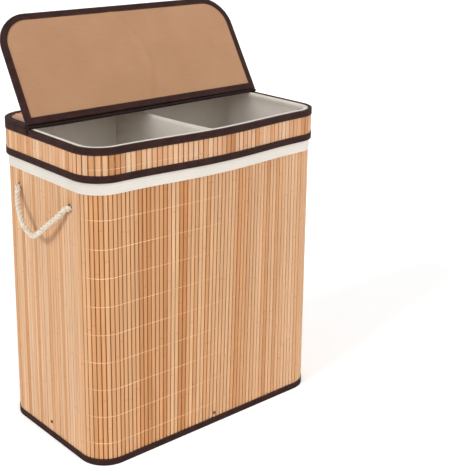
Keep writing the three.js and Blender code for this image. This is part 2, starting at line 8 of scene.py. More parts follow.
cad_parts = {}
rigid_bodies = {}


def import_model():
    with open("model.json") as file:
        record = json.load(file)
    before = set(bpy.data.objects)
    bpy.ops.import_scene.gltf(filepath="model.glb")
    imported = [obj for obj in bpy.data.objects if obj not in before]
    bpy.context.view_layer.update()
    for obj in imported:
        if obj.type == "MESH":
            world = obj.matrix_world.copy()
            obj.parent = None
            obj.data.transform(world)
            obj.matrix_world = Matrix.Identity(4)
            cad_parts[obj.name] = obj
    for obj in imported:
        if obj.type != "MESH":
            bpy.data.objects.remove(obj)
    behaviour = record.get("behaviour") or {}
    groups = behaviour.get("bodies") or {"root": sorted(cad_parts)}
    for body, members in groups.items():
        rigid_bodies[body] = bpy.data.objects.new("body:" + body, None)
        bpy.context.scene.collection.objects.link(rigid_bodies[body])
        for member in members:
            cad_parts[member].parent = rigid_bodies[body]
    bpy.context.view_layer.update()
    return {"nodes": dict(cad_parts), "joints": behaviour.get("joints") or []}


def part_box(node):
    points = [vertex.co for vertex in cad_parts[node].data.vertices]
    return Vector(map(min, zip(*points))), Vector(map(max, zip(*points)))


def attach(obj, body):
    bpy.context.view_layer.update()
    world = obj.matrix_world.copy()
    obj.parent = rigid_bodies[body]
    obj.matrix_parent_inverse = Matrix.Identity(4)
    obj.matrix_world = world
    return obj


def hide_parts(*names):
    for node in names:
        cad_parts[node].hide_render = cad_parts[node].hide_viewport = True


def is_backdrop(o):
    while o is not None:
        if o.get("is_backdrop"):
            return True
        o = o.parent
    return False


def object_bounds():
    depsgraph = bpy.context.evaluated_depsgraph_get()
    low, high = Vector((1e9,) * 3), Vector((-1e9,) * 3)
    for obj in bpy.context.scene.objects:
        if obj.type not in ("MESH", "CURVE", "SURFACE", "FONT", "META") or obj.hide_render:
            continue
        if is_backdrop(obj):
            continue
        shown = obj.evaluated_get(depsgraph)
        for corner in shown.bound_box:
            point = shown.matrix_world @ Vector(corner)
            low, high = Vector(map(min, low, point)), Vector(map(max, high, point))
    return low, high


# A laundry hamper with two bins: bamboo slats, dark tapes, a cloth liner, a cap with a lid, two rope handles.
# Metres, +Z up, the origin on the floor under the middle of the body, the front towards -Y.
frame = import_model()
mm = 0.001


# Helpers for objects, node trees and materials.
def new_object(name, data):
    """An object in the scene."""
    made = bpy.data.objects.new(name, data)
    bpy.context.scene.collection.objects.link(made)
    return made


def new_piece(name, mesh, material, body):
    """An object of a mesh, with its material, riding on a body."""
    made = new_object(name, mesh)
    mesh.materials.append(material)
    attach(made, body)
    return made


def clamped(value):
    """A value held between 0 and 1."""
    return min(1, max(0, value))


def linear(red, green, blue):
    """A colour given in 0 to 255 as displayed, as the linear value that a shader takes."""
    def one(value):
        share = value / 255
        return share / 12.92 if share <= 0.04045 else ((share + 0.055) / 1.055) ** 2.4
    return (one(red), one(green), one(blue), 1.0)


def node(tree, kind, inputs=None, **settings):
    """A new node with its settings, and its inputs set to values or linked to sockets."""
    made = tree.nodes.new(kind)
    for name, value in settings.items():
        setattr(made, name, value)
    for key, value in (inputs or {}).items():
        if isinstance(value, bpy.types.NodeSocket):
            tree.links.new(value, made.inputs[key])
        else:
            made.inputs[key].default_value = value
    return made


def maths(tree, operation, *values):
    """The output of a Math node."""
    return node(tree, "ShaderNodeMath", dict(enumerate(values)), operation=operation).outputs[0]


def times(tree, first, second):
    """The product of two values."""
    return maths(tree, "MULTIPLY", first, second)


def parts_of(tree, vector):
    """The x, y and z of a vector."""
    return node(tree, "ShaderNodeSeparateXYZ", {0: vector}).outputs


def vector_of(tree, x, y, z):
    """A vector of its x, y and z."""
    return node(tree, "ShaderNodeCombineXYZ", {0: x, 1: y, 2: z}).outputs[0]


def cloud(tree, place, scale, detail, stretch=None, **more):
    """The value of a noise texture, its place stretched first where a stretch is given."""
    if stretch:
        place = node(tree, "ShaderNodeMapping", {"Vector": place, "Scale": stretch}).outputs[0]
    given = {"Vector": place, "Scale": scale, "Detail": detail, **more}
    return node(tree, "ShaderNodeTexNoise", given).outputs[0]


def remapped(tree, value, low, high, to_low, to_high):
    """A value moved from one range to another and held at its ends."""
    return node(tree, "ShaderNodeMapRange", {0: value, 1: low, 2: high, 3: to_low, 4: to_high}).outputs[0]


def graded(tree, value, stops):
    """The colour of a value on a ramp of stops, each a position and a displayed colour."""
    ramp = node(tree, "ShaderNodeValToRGB", {0: value})
    elements = ramp.color_ramp.elements
    for _ in stops[2:]:
        elements.new(0.5)
    for element, (position, colour) in zip(elements, stops):
        element.position = position
        element.color = linear(*colour)
    return ramp.outputs[0]


def object_place(tree):
    """Object coordinates."""
    return node(tree, "ShaderNodeTexCoord").outputs["Object"]


def surface_place(tree):
    """The piece's own UV map."""
    return node(tree, "ShaderNodeUVMap").outputs[0]


def new_material(name, roughness, **constants):
    """A material with its shader's constant values set, its node tree and the shader itself."""
    made = bpy.data.materials.new(name)
    made.use_nodes = True
    shader = made.node_tree.nodes["Principled BSDF"]
    shader.inputs["Roughness"].default_value = roughness
    for socket, value in constants.items():
        shader.inputs[socket.replace("_", " ").title().replace("Ior", "IOR")].default_value = value
    return made, made.node_tree, shader


def surfaced(tree, shader, colour, height=None, strength=0.0, distance=0.0):
    """Feeds a shader its colour, and a bump of a height where one is given."""
    tree.links.new(colour, shader.inputs["Base Color"])
    if height:
        bump = node(tree, "ShaderNodeBump", {"Height": height, "Strength": strength, "Distance": distance})
        tree.links.new(bump.outputs[0], shader.inputs["Normal"])


def new_group(name, kind, inputs, outputs):
    """A node group with its named inputs and outputs, and the inputs as sockets inside it."""
    group = bpy.data.node_groups.new(name, kind)
    for way, sockets in (("INPUT", inputs), ("OUTPUT", outputs)):
        for socket, value in sockets.items():
            group.interface.new_socket(socket, in_out=way, socket_type=f"NodeSocket{value}")
    return group, node(group, "NodeGroupInput").outputs


# Camera: the photograph's viewing angle, from the front left and a little above. The frame's shift keeps the
# perspective of the photograph, whose middle is not the middle of its view.
camera_data = bpy.data.cameras.new("camera")
camera_data.lens = 77.74
camera_data.sensor_width = 36
camera_data.shift_x = 0.0561
camera_data.shift_y = -0.1809
camera = new_object("camera", camera_data)
camera_right = Vector((0.76374, -0.64549, 0.00610))
camera_up = Vector((0.16034, 0.19885, 0.96682))
camera_back = Vector((-0.62529, -0.73743, 0.25537))
camera_place = (-1.13042, -1.46492, 0.99332)
camera_turn = Matrix((camera_right, camera_up, camera_back)).transposed().to_4x4()
camera.matrix_world = Matrix.Translation(camera_place) @ camera_turn
bpy.context.scene.camera = camera


# Studio: a level white surround, key lights from the left (a wide one for the liner and the divider, a narrow
# one for all else), a wide fill from the front, and a white floor that takes the contact shadow.
bpy.context.scene.view_settings.view_transform = "Standard"
world = bpy.data.worlds.new("surround")
bpy.context.scene.world = world
world.use_nodes = True
sky = world.node_tree
sky.nodes.clear()
rays = node(sky, "ShaderNodeLightPath")
seen = maths(sky, "MAXIMUM", rays.outputs["Is Camera Ray"], rays.outputs["Is Glossy Ray"])
seen = maths(sky, "MAXIMUM", seen, rays.outputs["Is Transmission Ray"])
surround_strength = 0.46
sky_strength = maths(sky, "MULTIPLY_ADD", seen, 1 - surround_strength, surround_strength)
surround = node(sky, "ShaderNodeBackground", {"Color": (1, 1, 1, 1), "Strength": sky_strength})
node(sky, "ShaderNodeOutputWorld", {"Surface": surround.outputs[0]})

# Each light: its name, where it comes from, its width in degrees and its strength.
key_from = (-0.85, -0.08, 0.52)
fill_from = (0.33, -0.85, 0.40)
lights = [("key", key_from, 15, 1.6), ("cloth_key", key_from, 75, 1.6), ("fill", fill_from, 60, 1.35)]
for light_name, light_from, light_spread, light_strength in lights:
    light_data = bpy.data.lights.new(light_name, "SUN")
    light_data.energy = light_strength
    light_data.angle = math.radians(light_spread)
    light = new_object(light_name, light_data)
    light.rotation_euler = Vector(light_from).to_track_quat("Z", "Y").to_euler()

floor_mesh = bpy.data.meshes.new("floor")
floor_half = 14
floor_corners = [(x * floor_half, y * floor_half, 0) for x, y in ((-1, -1), (1, -1), (1, 1), (-1, 1))]
floor_mesh.from_pydata(floor_corners, [], [(0, 1, 2, 3)])
floor = new_object("floor", floor_mesh)
floor_material, floor_tree, floor_shader = new_material(
    "pale_floor", 0.9, specular_ior_level=0.0, base_color=(0.93, 0.93, 0.93, 1), emission_color=(1, 1, 1, 1))
floor_lift = 0.4
floor_seen = times(floor_tree, node(floor_tree, "ShaderNodeLightPath").outputs["Is Camera Ray"], floor_lift)
floor_tree.links.new(floor_seen, floor_shader.inputs["Emission Strength"])
floor_mesh.materials.append(floor_material)
floor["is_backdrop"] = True


# Meshes: routes, tubes, shells through rows of points, and pads of two sheets.
def run_along(points):
    """How far along a polyline each of its points lies."""
    places = [0.0]
    for a, b in zip(points, points[1:]):
        places.append(places[-1] + (b - a).length)
    return places


def evenly(points, spacing):
    """The points of a polyline moved to even places along it, about a spacing apart."""
    places = run_along(points)
    count = max(2, round(places[-1] / spacing))
    out, at = [], 0
    for i in range(count + 1):
        place = places[-1] * i / count
        while at < len(points) - 2 and places[at + 1] < place:
            at += 1
        share = (place - places[at]) / (places[at + 1] - places[at])
        out.append(points[at].lerp(points[at + 1], share))
    return out


def smooth_route(points, spacing, steps=24):
    """Points at about a spacing along a centripetal Catmull-Rom curve through the given points."""
    ends = [points[0] * 2 - points[1], *points, points[-1] * 2 - points[-2]]
    dense = []
    for spot in zip(ends, ends[1:], ends[2:], ends[3:]):
        knots = [0.0]
        for a, b in zip(spot, spot[1:]):
            knots.append(knots[-1] + math.sqrt((b - a).length))

        def between(a, b, start, end, t):
            return a * ((knots[end] - t) / (knots[end] - knots[start])) + b * (
                (t - knots[start]) / (knots[end] - knots[start]))

        for i in range(steps):
            t = knots[1] + (knots[2] - knots[1]) * i / steps
            first = [between(spot[k], spot[k + 1], k, k + 1, t) for k in range(3)]
            second = [between(first[k], first[k + 1], k, k + 2, t) for k in range(2)]
            dense.append(between(*second, 1, 2, t))
    dense.append(points[-1])
    return evenly(dense, spacing)


def carried_frames(points, side):
    """Two directions across a path at each point, carried along it without twist."""
    frames = []
    for behind, ahead in zip(points[:1] + points[:-1], points[1:] + points[-1:]):
        along = (ahead - behind).normalized()
        side = (side - along * side.dot(along)).normalized()
        frames.append((side, along.cross(side)))
    return frames


def round_points(middle, side, up, radius, count, start=0.0):
    """Points evenly round a circle across two directions."""
    angles = [2 * math.pi * k / count + start for k in range(count)]
    return [middle + (side * math.cos(angle) + up * math.sin(angle)) * radius for angle in angles]


def loft(shape, rows, loop, across=None, along=None, turned=False):
    """Smooth faces through closed rows of points, the end rows filled, with UV where its places are given."""
    uv = shape.loops.layers.uv.verify() if across else None
    count = len(rows[0])
    made = [[shape.verts.new(point) for point in row] for row in rows]
    for i in range(len(rows) if loop else len(rows) - 1):
        lower, upper = made[i], made[(i + 1) % len(rows)]
        for k in range(count):
            m = (k + 1) % count
            face = shape.faces.new((lower[k], lower[m], upper[m], upper[k]))
            face.smooth = True
            if across:
                for corner, (a, b) in zip(face.loops, ((k, i), (k + 1, i), (k + 1, i + 1), (k, i + 1))):
                    corner[uv].uv = (across[a], along[b])
    if not loop:
        shape.faces.new(made[0][::-1] if turned else made[0])
        shape.faces.new(made[-1])


def add_tube(shape, points, radius, sides, closed=False):
    """Adds a round tube along points to a bmesh, with its length and way round as UV."""
    frames = carried_frames(points, Vector((0.31, 0.21, 0.93)))
    rows = [round_points(point, side, up, radius, sides) for point, (side, up) in zip(points, frames)]
    across = [k / sides * 2 * math.pi * radius for k in range(sides + 1)]
    loft(shape, rows, closed, across, run_along(points) + [0.0], turned=True)


def shell(rows, loop=True, turned=False):
    """A smooth bmesh through closed rows of points, with the ways along and across it as UV in metres."""
    shape = bmesh.new()
    shape.loops.layers.uv.new("UVMap")
    firsts = [row[0] for row in rows]
    loft(shape, rows, loop, run_along(rows[0] + rows[0][:1]), run_along(firsts + firsts[:1]), turned)
    return shape


def pad(sheets, uv_of, soft_edge):
    """A bmesh of two sheets of points, one behind the other, joined round their edges, with UV by a rule."""
    shape = bmesh.new()
    uv = shape.loops.layers.uv.new("UVMap")
    made = [[[shape.verts.new(point) for point in row] for row in sheet] for sheet in sheets]
    last_row, last = len(sheets[0]) - 1, len(sheets[0][0]) - 1
    for sheet in made:
        for i in range(last_row):
            for j in range(last):
                corners = (sheet[i][j], sheet[i + 1][j], sheet[i + 1][j + 1], sheet[i][j + 1])
                shape.faces.new(corners).smooth = True
    rim = [(i, 0) for i in range(last_row)] + [(last_row, j) for j in range(last)]
    rim += [(i, last) for i in range(last_row, 0, -1)] + [(0, j) for j in range(last, 0, -1)]
    front, back = made
    for (a, b), (c, d) in zip(rim, rim[1:] + rim[:1]):
        shape.faces.new((front[a][b], front[c][d], back[c][d], back[a][b])).smooth = soft_edge
    for face in shape.faces:
        for corner in face.loops:
            corner[uv].uv = uv_of(corner.vert.co)
    return shape


def finished(shape, name):
    """The mesh of a bmesh, faces outwards."""
    bmesh.ops.recalc_face_normals(shape, faces=shape.faces)
    mesh = bpy.data.meshes.new(name)
    shape.to_mesh(mesh)
    shape.free()
    return mesh


def rounded_section(corners, radius, steps=3):
    """A section of (offset, height) corners with each of its corners rounded."""
    out = []
    longest_share = 0.45
    for i, (x, z) in enumerate(corners):
        here = Vector((x, z))
        back = Vector(corners[i - 1]) - here
        ahead = Vector(corners[(i + 1) % len(corners)]) - here
        cut = min(radius, back.length * longest_share, ahead.length * longest_share)
        start = here + back.normalized() * cut
        end = here + ahead.normalized() * cut
        for k in range(steps + 1):
            t = k / steps
            out.append(tuple(start * (1 - t) ** 2 + here * (2 * t * (1 - t)) + end * t ** 2))
    return out


# Rope handles: a three-strand twisted cotton rope at each end, its ends led in through the wall and knotted
# behind it. It hangs out and down from its two holes under its own weight.
rope_lay = 26 * mm
rope_hole_y = 83 * mm
rope_hole_z = 463 * mm
rope_step = 2 * mm
path_step = 4.6 * mm
strand_radius = 2.55 * mm
strand_offset = 2.75 * mm
strand_sides = 10
knot_from_wall = 6.5 * mm
knot_ring = 5.1 * mm
knot_rise = 2.6 * mm
knot_tube = 3.3 * mm
knot_steps = 60
# The routes are in millimetres: out from the wall, along it, and up or down.
rope_half_route = [(5.6, 77.7, 0), (12, 68.5, -12.5), (22, 47, -33), (27, 22, -54), (24, 0, -65)]
turn_in = [(-4, 0, 0), (-1, 0, 0), (2.2, -0.3, 0.6), (4.2, -1.5, 1.3), (5.2, -3.4, 1.2), (5.6, -5.3, 0)]
wall_low, wall_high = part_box("wall_slats")
half_width = wall_high.x


def twisted(points, angle):
    """The three strands' centre lines along a rope's path, and the angle that the lay has reached."""
    strands = [[], [], []]
    for i, (point, (side, up)) in enumerate(zip(points, carried_frames(points, Vector((0, 0, 1))))):
        if i:
            angle += 2 * math.pi * (point - points[i - 1]).length / rope_lay
        for strand, place in zip(strands, round_points(point, side, up, strand_offset, 3, angle)):
            strand.append(place)
    return strands, angle


rope_material, rope_tree, rope_shader = new_material("cotton_rope", 0.92, sheen_weight=0.25)
rope_parts = parts_of(rope_tree, surface_place(rope_tree))
yarn_pitch = 1.1 * mm
yarn_slant = 0.75
yarn_run = maths(rope_tree, "MULTIPLY_ADD", rope_parts[1], yarn_slant, rope_parts[0])
yarn_wave = maths(rope_tree, "SINE", times(rope_tree, yarn_run, 2 * math.pi / yarn_pitch))
rope_cloud = cloud(rope_tree, object_place(rope_tree), 220.0, 4.0)
rope_height = maths(rope_tree, "MULTIPLY_ADD", rope_cloud, 1.2, yarn_wave)
rope_tint = graded(rope_tree, rope_cloud, [(0.3, (230, 210, 180)), (0.62, (255, 245, 228))])
surfaced(rope_tree, rope_shader, rope_tint, rope_height, 0.55, 0.4 * mm)

for side, name in ((-1, "left"), (1, "right")):
    def rope_points(table, way, back=0.0):
        """A table's points on this end of the body, towards its front or rear."""
        return [Vector((side * (half_width + out * mm), way * (back + along * mm), rope_hole_z + up * mm))
                for out, along, up in table]

    front_half = rope_points(rope_half_route, -1)
    rear_half = rope_points(rope_half_route[:-1], 1)[::-1]
    route = smooth_route(front_half + rear_half, rope_step)
    turns = [smooth_route(points, rope_step / 2) for points in (rope_points(turn_in, -1, rope_hole_y),
                                                              rope_points(turn_in, 1, rope_hole_y)[::-1])]
    angle = 0.0
    for part, points in (("front", turns[0]), ("handle", route), ("rear", turns[1])):
        strands, angle = twisted(points, angle)
        shape = bmesh.new()
        for strand in strands:
            add_tube(shape, strand, strand_radius, strand_sides)
        if part == "handle":
            handle_mesh = finished(shape, f"rope_{name}")
            handle = new_piece(f"rope_{name}", handle_mesh, rope_material, f"handle_{name}")
            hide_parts(f"rope_handle_{name}")
        else:
            knot_low, knot_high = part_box(f"rope_knot_{name}_{part}")
            knot_out = min(abs(knot_low.x), abs(knot_high.x)) + knot_from_wall
            knot_middle = Vector((side * knot_out, (knot_low.y + knot_high.y) / 2, rope_hole_z))
            loop = []
            for i in range(knot_steps):
                t = 2 * math.pi * i / knot_steps
                reach = knot_ring + knot_rise * math.cos(3 * t)
                bend = Vector((knot_rise * math.sin(3 * t), reach * math.cos(2 * t), reach * math.sin(2 * t)))
                loop.append(knot_middle + bend)
            add_tube(shape, loop, knot_tube, strand_sides, closed=True)
            end = new_piece(f"rope_end_{name}_{part}", finished(shape, "rope_end"), rope_material, "hamper")
            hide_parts(f"rope_knot_{name}_{part}")
    path = evenly(route, path_step)


# Plan: the body's outline, swept up with the bulge that its long sides take towards the cuff.
bulge = 13 * mm
corner_radius = 50 * mm
cuff_show = 21 * mm
cap_low, cap_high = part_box("collar_bottom_binding")
rim_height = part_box("collar_top_binding")[1].z
half_depth = wall_high.y - bulge
half_straight = half_width - corner_radius
cuff_bottom = cap_low.z - cuff_show
corner_arc = corner_radius * math.pi / 2
plan_sides = [2 * (half_depth - corner_radius), 2 * half_straight] * 2
plan_length = sum(plan_sides) + 4 * corner_arc
plan_centres = [Vector((half_straight * x, (half_depth - corner_radius) * y, 0))
                for x, y in ((1, 1), (-1, 1), (-1, -1), (1, -1))]
band_spacing = 14 * mm


def plan_walk(distance):
    """The side that a place along the plan is on, how far along it, and how far into the corner after it."""
    left = distance % plan_length
    for k, side_length in enumerate(plan_sides):
        if left <= side_length:
            return k, left, None
        left -= side_length
        if left <= corner_arc:
            return k, side_length, left
        left -= corner_arc
    return 3, plan_sides[3], corner_arc


def plan_place(distance):
    """The point that a place along the plan turns about, and its outward angle."""
    k, along, turned = plan_walk(distance)
    if turned is None:
        return plan_centres[k - 1].lerp(plan_centres[k], along / plan_sides[k]), k * math.pi / 2
    return plan_centres[k], k * math.pi / 2 + turned / corner_radius


def upright(distance, offset, z):
    """The point at a place along the plan, an offset outside the slats and a height, before the bulge."""
    centre, facing = plan_place(distance)
    reach = corner_radius + offset
    return Vector((centre.x + reach * math.cos(facing), centre.y + reach * math.sin(facing), z))


def bulge_share(x):
    """How much deeper the bulged body is than the plain one at its widest, by the place along a long side."""
    return (1 + math.cos(math.pi * min(1, abs(x) / half_straight))) / 2 * bulge / half_depth


def on_body(distance, offset, z):
    """The same point on the bulged body."""
    point = upright(distance, offset, z)
    rise = min(1, max(0, z) / cuff_bottom)
    return Vector((point.x, point.y * (1 + bulge_share(point.x) * rise), z))


def plan_steps(spacing, corner_count=12):
    """Places along the plan: even steps on the straight sides and a fixed count on each corner."""
    out, start = [], 0.0
    for side_length in plan_sides:
        side_count = max(1, round(side_length / spacing))
        for length, count in ((side_length, side_count), (corner_arc, corner_count)):
            out += [start + length * i / count for i in range(count)]
            start += length
    return out


# Bamboo: the look of a slat, and the trees that grow slats, threads and stitches on points.
def bamboo_group():
    """The look of split bamboo: a slat's own tone, streaks along it, rings at its joints, painted shade at
    its edges, and a tint by how open its gaps stand, a painted sheen where they are tight and painted shade
    where they are open.
    """
    group, given = new_group(
        "bamboo", "ShaderNodeTree",
        {"Place": "Vector", "Tone": "Float", "Across": "Float", "Open": "Float", "Painted gap shade": "Float",
         "Painted sheen tint": "Vector", "Painted shade tint": "Vector"},
        {"Color": "Color", "Roughness": "Float", "Height": "Float"})
    place, opened = given["Place"], given["Open"]
    tones = [(0.0, (200, 137, 87)), (0.07, (211, 149, 99)), (0.2, (221, 165, 119)), (0.5, (226, 174, 132)),
             (0.82, (230, 182, 141)), (0.94, (235, 190, 150)), (1.0, (240, 202, 164))]
    base = graded(group, given["Tone"], tones)
    streaks = cloud(group, place, 1.0, 5.0, (900.0, 9.0, 1.0), Roughness=0.62)
    patches = cloud(group, place, 1.0, 2.0, (160.0, 5.0, 1.0))
    shade = times(group, remapped(group, streaks, 0.35, 0.68, 0.86, 1.07),
                  remapped(group, patches, 0.3, 0.7, 0.9, 1.08))
    # Painted shade: the slat's edges are mixed towards a dark brown, a little everywhere and more where the
    # gaps stand open.
    edge = maths(group, "POWER", maths(group, "ABSOLUTE", given["Across"]), 12.0)
    painted_edge_shade = times(group, edge, maths(group, "MULTIPLY_ADD", opened, given["Painted gap shade"], 0.1))
    parts = parts_of(group, place)
    ring_pitch = 0.31
    ring_stagger = 0.173
    ring_width = 2.2 * mm
    ring_run = maths(group, "MULTIPLY_ADD", parts[2], ring_stagger, parts[1])
    ring_place = maths(group, "PINGPONG", ring_run, ring_pitch / 2)
    ring = remapped(group, ring_place, 0.0, ring_width, 1.0, 0.0)
    shade = times(group, shade, maths(group, "MULTIPLY_ADD", ring, -0.16, 1.0))
    # Painted sheen and painted shade: the colour is tinted paler where the gaps are tight and deeper where
    # they stand open.
    tint = node(group, "ShaderNodeMix", {0: opened, 4: given["Painted sheen tint"], 5: given["Painted shade tint"]},
                data_type="VECTOR").outputs[1]
    tinted = node(group, "ShaderNodeVectorMath", {0: base, 1: tint}, operation="MULTIPLY").outputs[0]
    face = node(group, "ShaderNodeVectorMath", {0: tinted, "Scale": shade}, operation="SCALE").outputs[0]
    # The dark brown of the painted edge shade.
    colour = node(group, "ShaderNodeMix", {0: painted_edge_shade, 6: face, 7: linear(136, 74, 34)}, data_type="RGBA")
    roughness = maths(group, "MULTIPLY_ADD", streaks, 0.25, 0.38)
    height = maths(group, "MULTIPLY_ADD", ring, 0.5, streaks)
    node(group, "NodeGroupOutput", {"Color": colour.outputs[2], "Roughness": roughness, "Height": height})
    return group


def bamboo_material(name, variety, painted_gap_shade, painted_sheen_tint=(1, 1, 1), painted_shade_tint=(1, 1, 1)):
    """Bamboo whose place, tone, way across and open gaps come from the attributes that the slats carry."""
    made, tree, shader = new_material(name, 0.5, specular_ior_level=0.27)
    look = node(tree, "ShaderNodeGroup", node_tree=bamboo)
    for socket, value in (("Painted gap shade", painted_gap_shade), ("Painted sheen tint", painted_sheen_tint), ("Painted shade tint", painted_shade_tint)):
        look.inputs[socket].default_value = value
    for target, output in (("Place", "Vector"), ("Tone", "Fac"), ("Across", "Fac"), ("Open", "Fac")):
        read = node(tree, "ShaderNodeAttribute", attribute_name=f"slat_{target.lower()}")
        value = read.outputs[output]
        if target == "Tone":
            value = maths(tree, "MULTIPLY_ADD", value, variety, (1 - variety) / 2)
        tree.links.new(value, look.inputs[target])
    surfaced(tree, shader, look.outputs["Color"], look.outputs["Height"], 0.35, 0.3 * mm)
    tree.links.new(look.outputs["Roughness"], shader.inputs["Roughness"])
    return made


def read(tree, name, kind="FLOAT"):
    """The value of an attribute, in geometry nodes."""
    return node(tree, "GeometryNodeInputNamedAttribute", {"Name": name}, data_type=kind).outputs[0]


def marked(tree, geometry, name, value, kind="FLOAT", domain="POINT"):
    """Geometry that carries a value as an attribute."""
    return node(tree, "GeometryNodeStoreNamedAttribute", {"Geometry": geometry, "Name": name, "Value": value},
                data_type=kind, domain=domain).outputs[0]


def reshaped(tree, geometry, place):
    """Geometry with its points moved to a place."""
    return node(tree, "GeometryNodeSetPosition", {"Geometry": geometry, "Position": place}).outputs[0]


def growing_tree(name, inputs):
    """A geometry tree that takes points, its own inputs and a material, and the sockets of its inputs."""
    return new_group(name, "GeometryNodeTree", {"Points": "Geometry", **inputs, "Material": "Material"},
                     {"Grown": "Geometry"})


def copies(tree, given, instance, **more):
    """A copy of an instance at each point, turned as the point says."""
    return node(tree, "GeometryNodeInstanceOnPoints", {"Points": given["Points"], "Instance": instance,
                                                     "Rotation": read(tree, "slat_turn", "FLOAT_VECTOR"),
                                                     **more}).outputs[0]


def realized(tree, geometry):
    """Copies made into one mesh."""
    return node(tree, "GeometryNodeRealizeInstances", {"Geometry": geometry}).outputs[0]


def put_out(tree, geometry, given, soft=True, domain="FACE"):
    """Gives geometry its shading and its material, and puts it out of the tree."""
    smooth = node(tree, "GeometryNodeSetShadeSmooth", {"Geometry": geometry, "Shade Smooth": soft},
                  domain=domain).outputs[0]
    coated = node(tree, "GeometryNodeSetMaterial", {"Geometry": smooth, "Material": given["Material"]})
    node(tree, "NodeGroupOutput", {0: coated.outputs[0]})


def bowed_out(tree, geometry, given):
    """Geometry moved from round the plain plan out to the bulged body."""
    x, y, z = parts_of(tree, node(tree, "GeometryNodeInputPosition").outputs[0])
    sideways = maths(tree, "DIVIDE", maths(tree, "ABSOLUTE", x), given["Half straight"])
    turned = times(tree, maths(tree, "MINIMUM", sideways, 1.0), math.pi)
    wave = maths(tree, "MULTIPLY_ADD", maths(tree, "COSINE", turned), 0.5, 0.5)
    rise = maths(tree, "MINIMUM", maths(tree, "DIVIDE", z, given["Full height"]), 1.0)
    push = times(tree, times(tree, wave, rise), given["Bulge"])
    pushed = maths(tree, "MULTIPLY_ADD", y, maths(tree, "DIVIDE", push, given["Half depth"]), y)
    return reshaped(tree, geometry, vector_of(tree, x, pushed, z))


body_inputs = {"Bulge": "Float", "Half straight": "Float", "Half depth": "Float", "Full height": "Float"}
round_body_values = {"bulge": bulge, "half_straight": half_straight, "half_depth": half_depth,
                     "full_height": cuff_bottom}
flat_values = {"bulge": 0.0, "half_straight": 1.0, "half_depth": 1.0, "full_height": 1.0}


def slat_tree():
    """Geometry nodes: a slat on each point, crowned, of its own width and tone, bulged with the body."""
    tree, given = growing_tree("slats", {
        "Width": "Float", "Thickness": "Float", "Crown": "Float", "Levels": "Int", "Width spread": "Float",
        "Space": "Float", "Set back": "Float", "Seed": "Int", **body_inputs})
    size = vector_of(tree, given["Width"], given["Thickness"], 1.0)
    bar = node(tree, "GeometryNodeMeshCube", {"Size": size, "Vertices X": 7, "Vertices Y": 2,
                                              "Vertices Z": given["Levels"]}).outputs[0]
    x, y, z = parts_of(tree, node(tree, "GeometryNodeInputPosition").outputs[0])
    half = times(tree, given["Width"], 0.5)
    across = maths(tree, "SINE", times(tree, maths(tree, "DIVIDE", x, half), math.pi / 2))
    drop = times(tree, maths(tree, "POWER", maths(tree, "ABSOLUTE", across), 3.2), given["Crown"])
    lowered = maths(tree, "SUBTRACT", y, times(tree, drop, maths(tree, "GREATER_THAN", y, 0.0)))
    along = maths(tree, "ADD", z, 0.5)
    shaped_place = vector_of(tree, times(tree, across, half), lowered, along)
    bar = marked(tree, marked(tree, bar, "slat_across", across), "slat_along", along)
    shaped = reshaped(tree, bar, shaped_place)

    def chance(low, high, extra):
        seed = maths(tree, "ADD", given["Seed"], float(extra))
        return node(tree, "FunctionNodeRandomValue", {2: low, 3: high, "Seed": seed},
                    data_type="FLOAT").outputs[1]

    narrow = maths(tree, "SUBTRACT", 1.0, given["Width spread"])
    opened = times(tree, read(tree, "slat_open"), maths(tree, "DIVIDE", given["Space"], given["Width"]))
    wide = maths(tree, "SUBTRACT", chance(narrow, 1.0, 1), opened)
    shift = times(tree, chance(-1.0, 0.0, 2), given["Set back"])
    slats = copies(tree, given, shaped, Scale=vector_of(tree, wide, 1.0, read(tree, "slat_length")))
    slats = node(tree, "GeometryNodeTranslateInstances", {"Instances": slats, "Local Space": True,
                                                        "Translation": vector_of(tree, 0.0, shift, 0.0)})
    slats = marked(tree, slats.outputs[0], "slat_tone", chance(0.0, 1.0, 3), domain="INSTANCE")
    slats = marked(tree, slats, "slat_number", chance(0.0, 97.0, 4), domain="INSTANCE")
    run = times(tree, read(tree, "slat_along"), read(tree, "slat_length"))
    reach = times(tree, read(tree, "slat_across"), half)
    own = vector_of(tree, reach, run, read(tree, "slat_number"))
    slats = marked(tree, realized(tree, slats), "slat_place", own, "FLOAT_VECTOR")
    sharpest = math.radians(50)
    soft = maths(tree, "LESS_THAN", node(tree, "GeometryNodeInputMeshEdgeAngle").outputs[0], sharpest)
    put_out(tree, bowed_out(tree, slats, given), given, soft, "EDGE")
    return tree


def thread_tree():
    """Geometry nodes: a short thread over the slat at each point, bulged with the body."""
    tree, given = growing_tree("threads", {"Width": "Float", "Dip": "Float", "Radius": "Float",
                                           "Slant": "Float", **body_inputs})
    line = node(tree, "GeometryNodeCurvePrimitiveLine", {"Start": (-1, 0, 0), "End": (1, 0, 0)})
    dense = node(tree, "GeometryNodeResampleCurve", {"Curve": line.outputs[0], "Count": 9}).outputs[0]
    across = parts_of(tree, node(tree, "GeometryNodeInputPosition").outputs[0])[0]
    sideways = times(tree, across, times(tree, given["Width"], 0.5))
    dip = maths(tree, "POWER", maths(tree, "ABSOLUTE", across), 2.6)
    down = times(tree, times(tree, dip, given["Dip"]), -1.0)
    bent = reshaped(tree, dense, vector_of(tree, sideways, down, times(tree, across, given["Slant"])))
    ring = node(tree, "GeometryNodeCurvePrimitiveCircle", {"Resolution": 5, "Radius": given["Radius"]})
    tube = node(tree, "GeometryNodeCurveToMesh", {"Curve": bent, "Profile Curve": ring.outputs[0],
                                                 "Fill Caps": True}).outputs[0]
    put_out(tree, bowed_out(tree, realized(tree, copies(tree, given, tube)), given), given)
    return tree


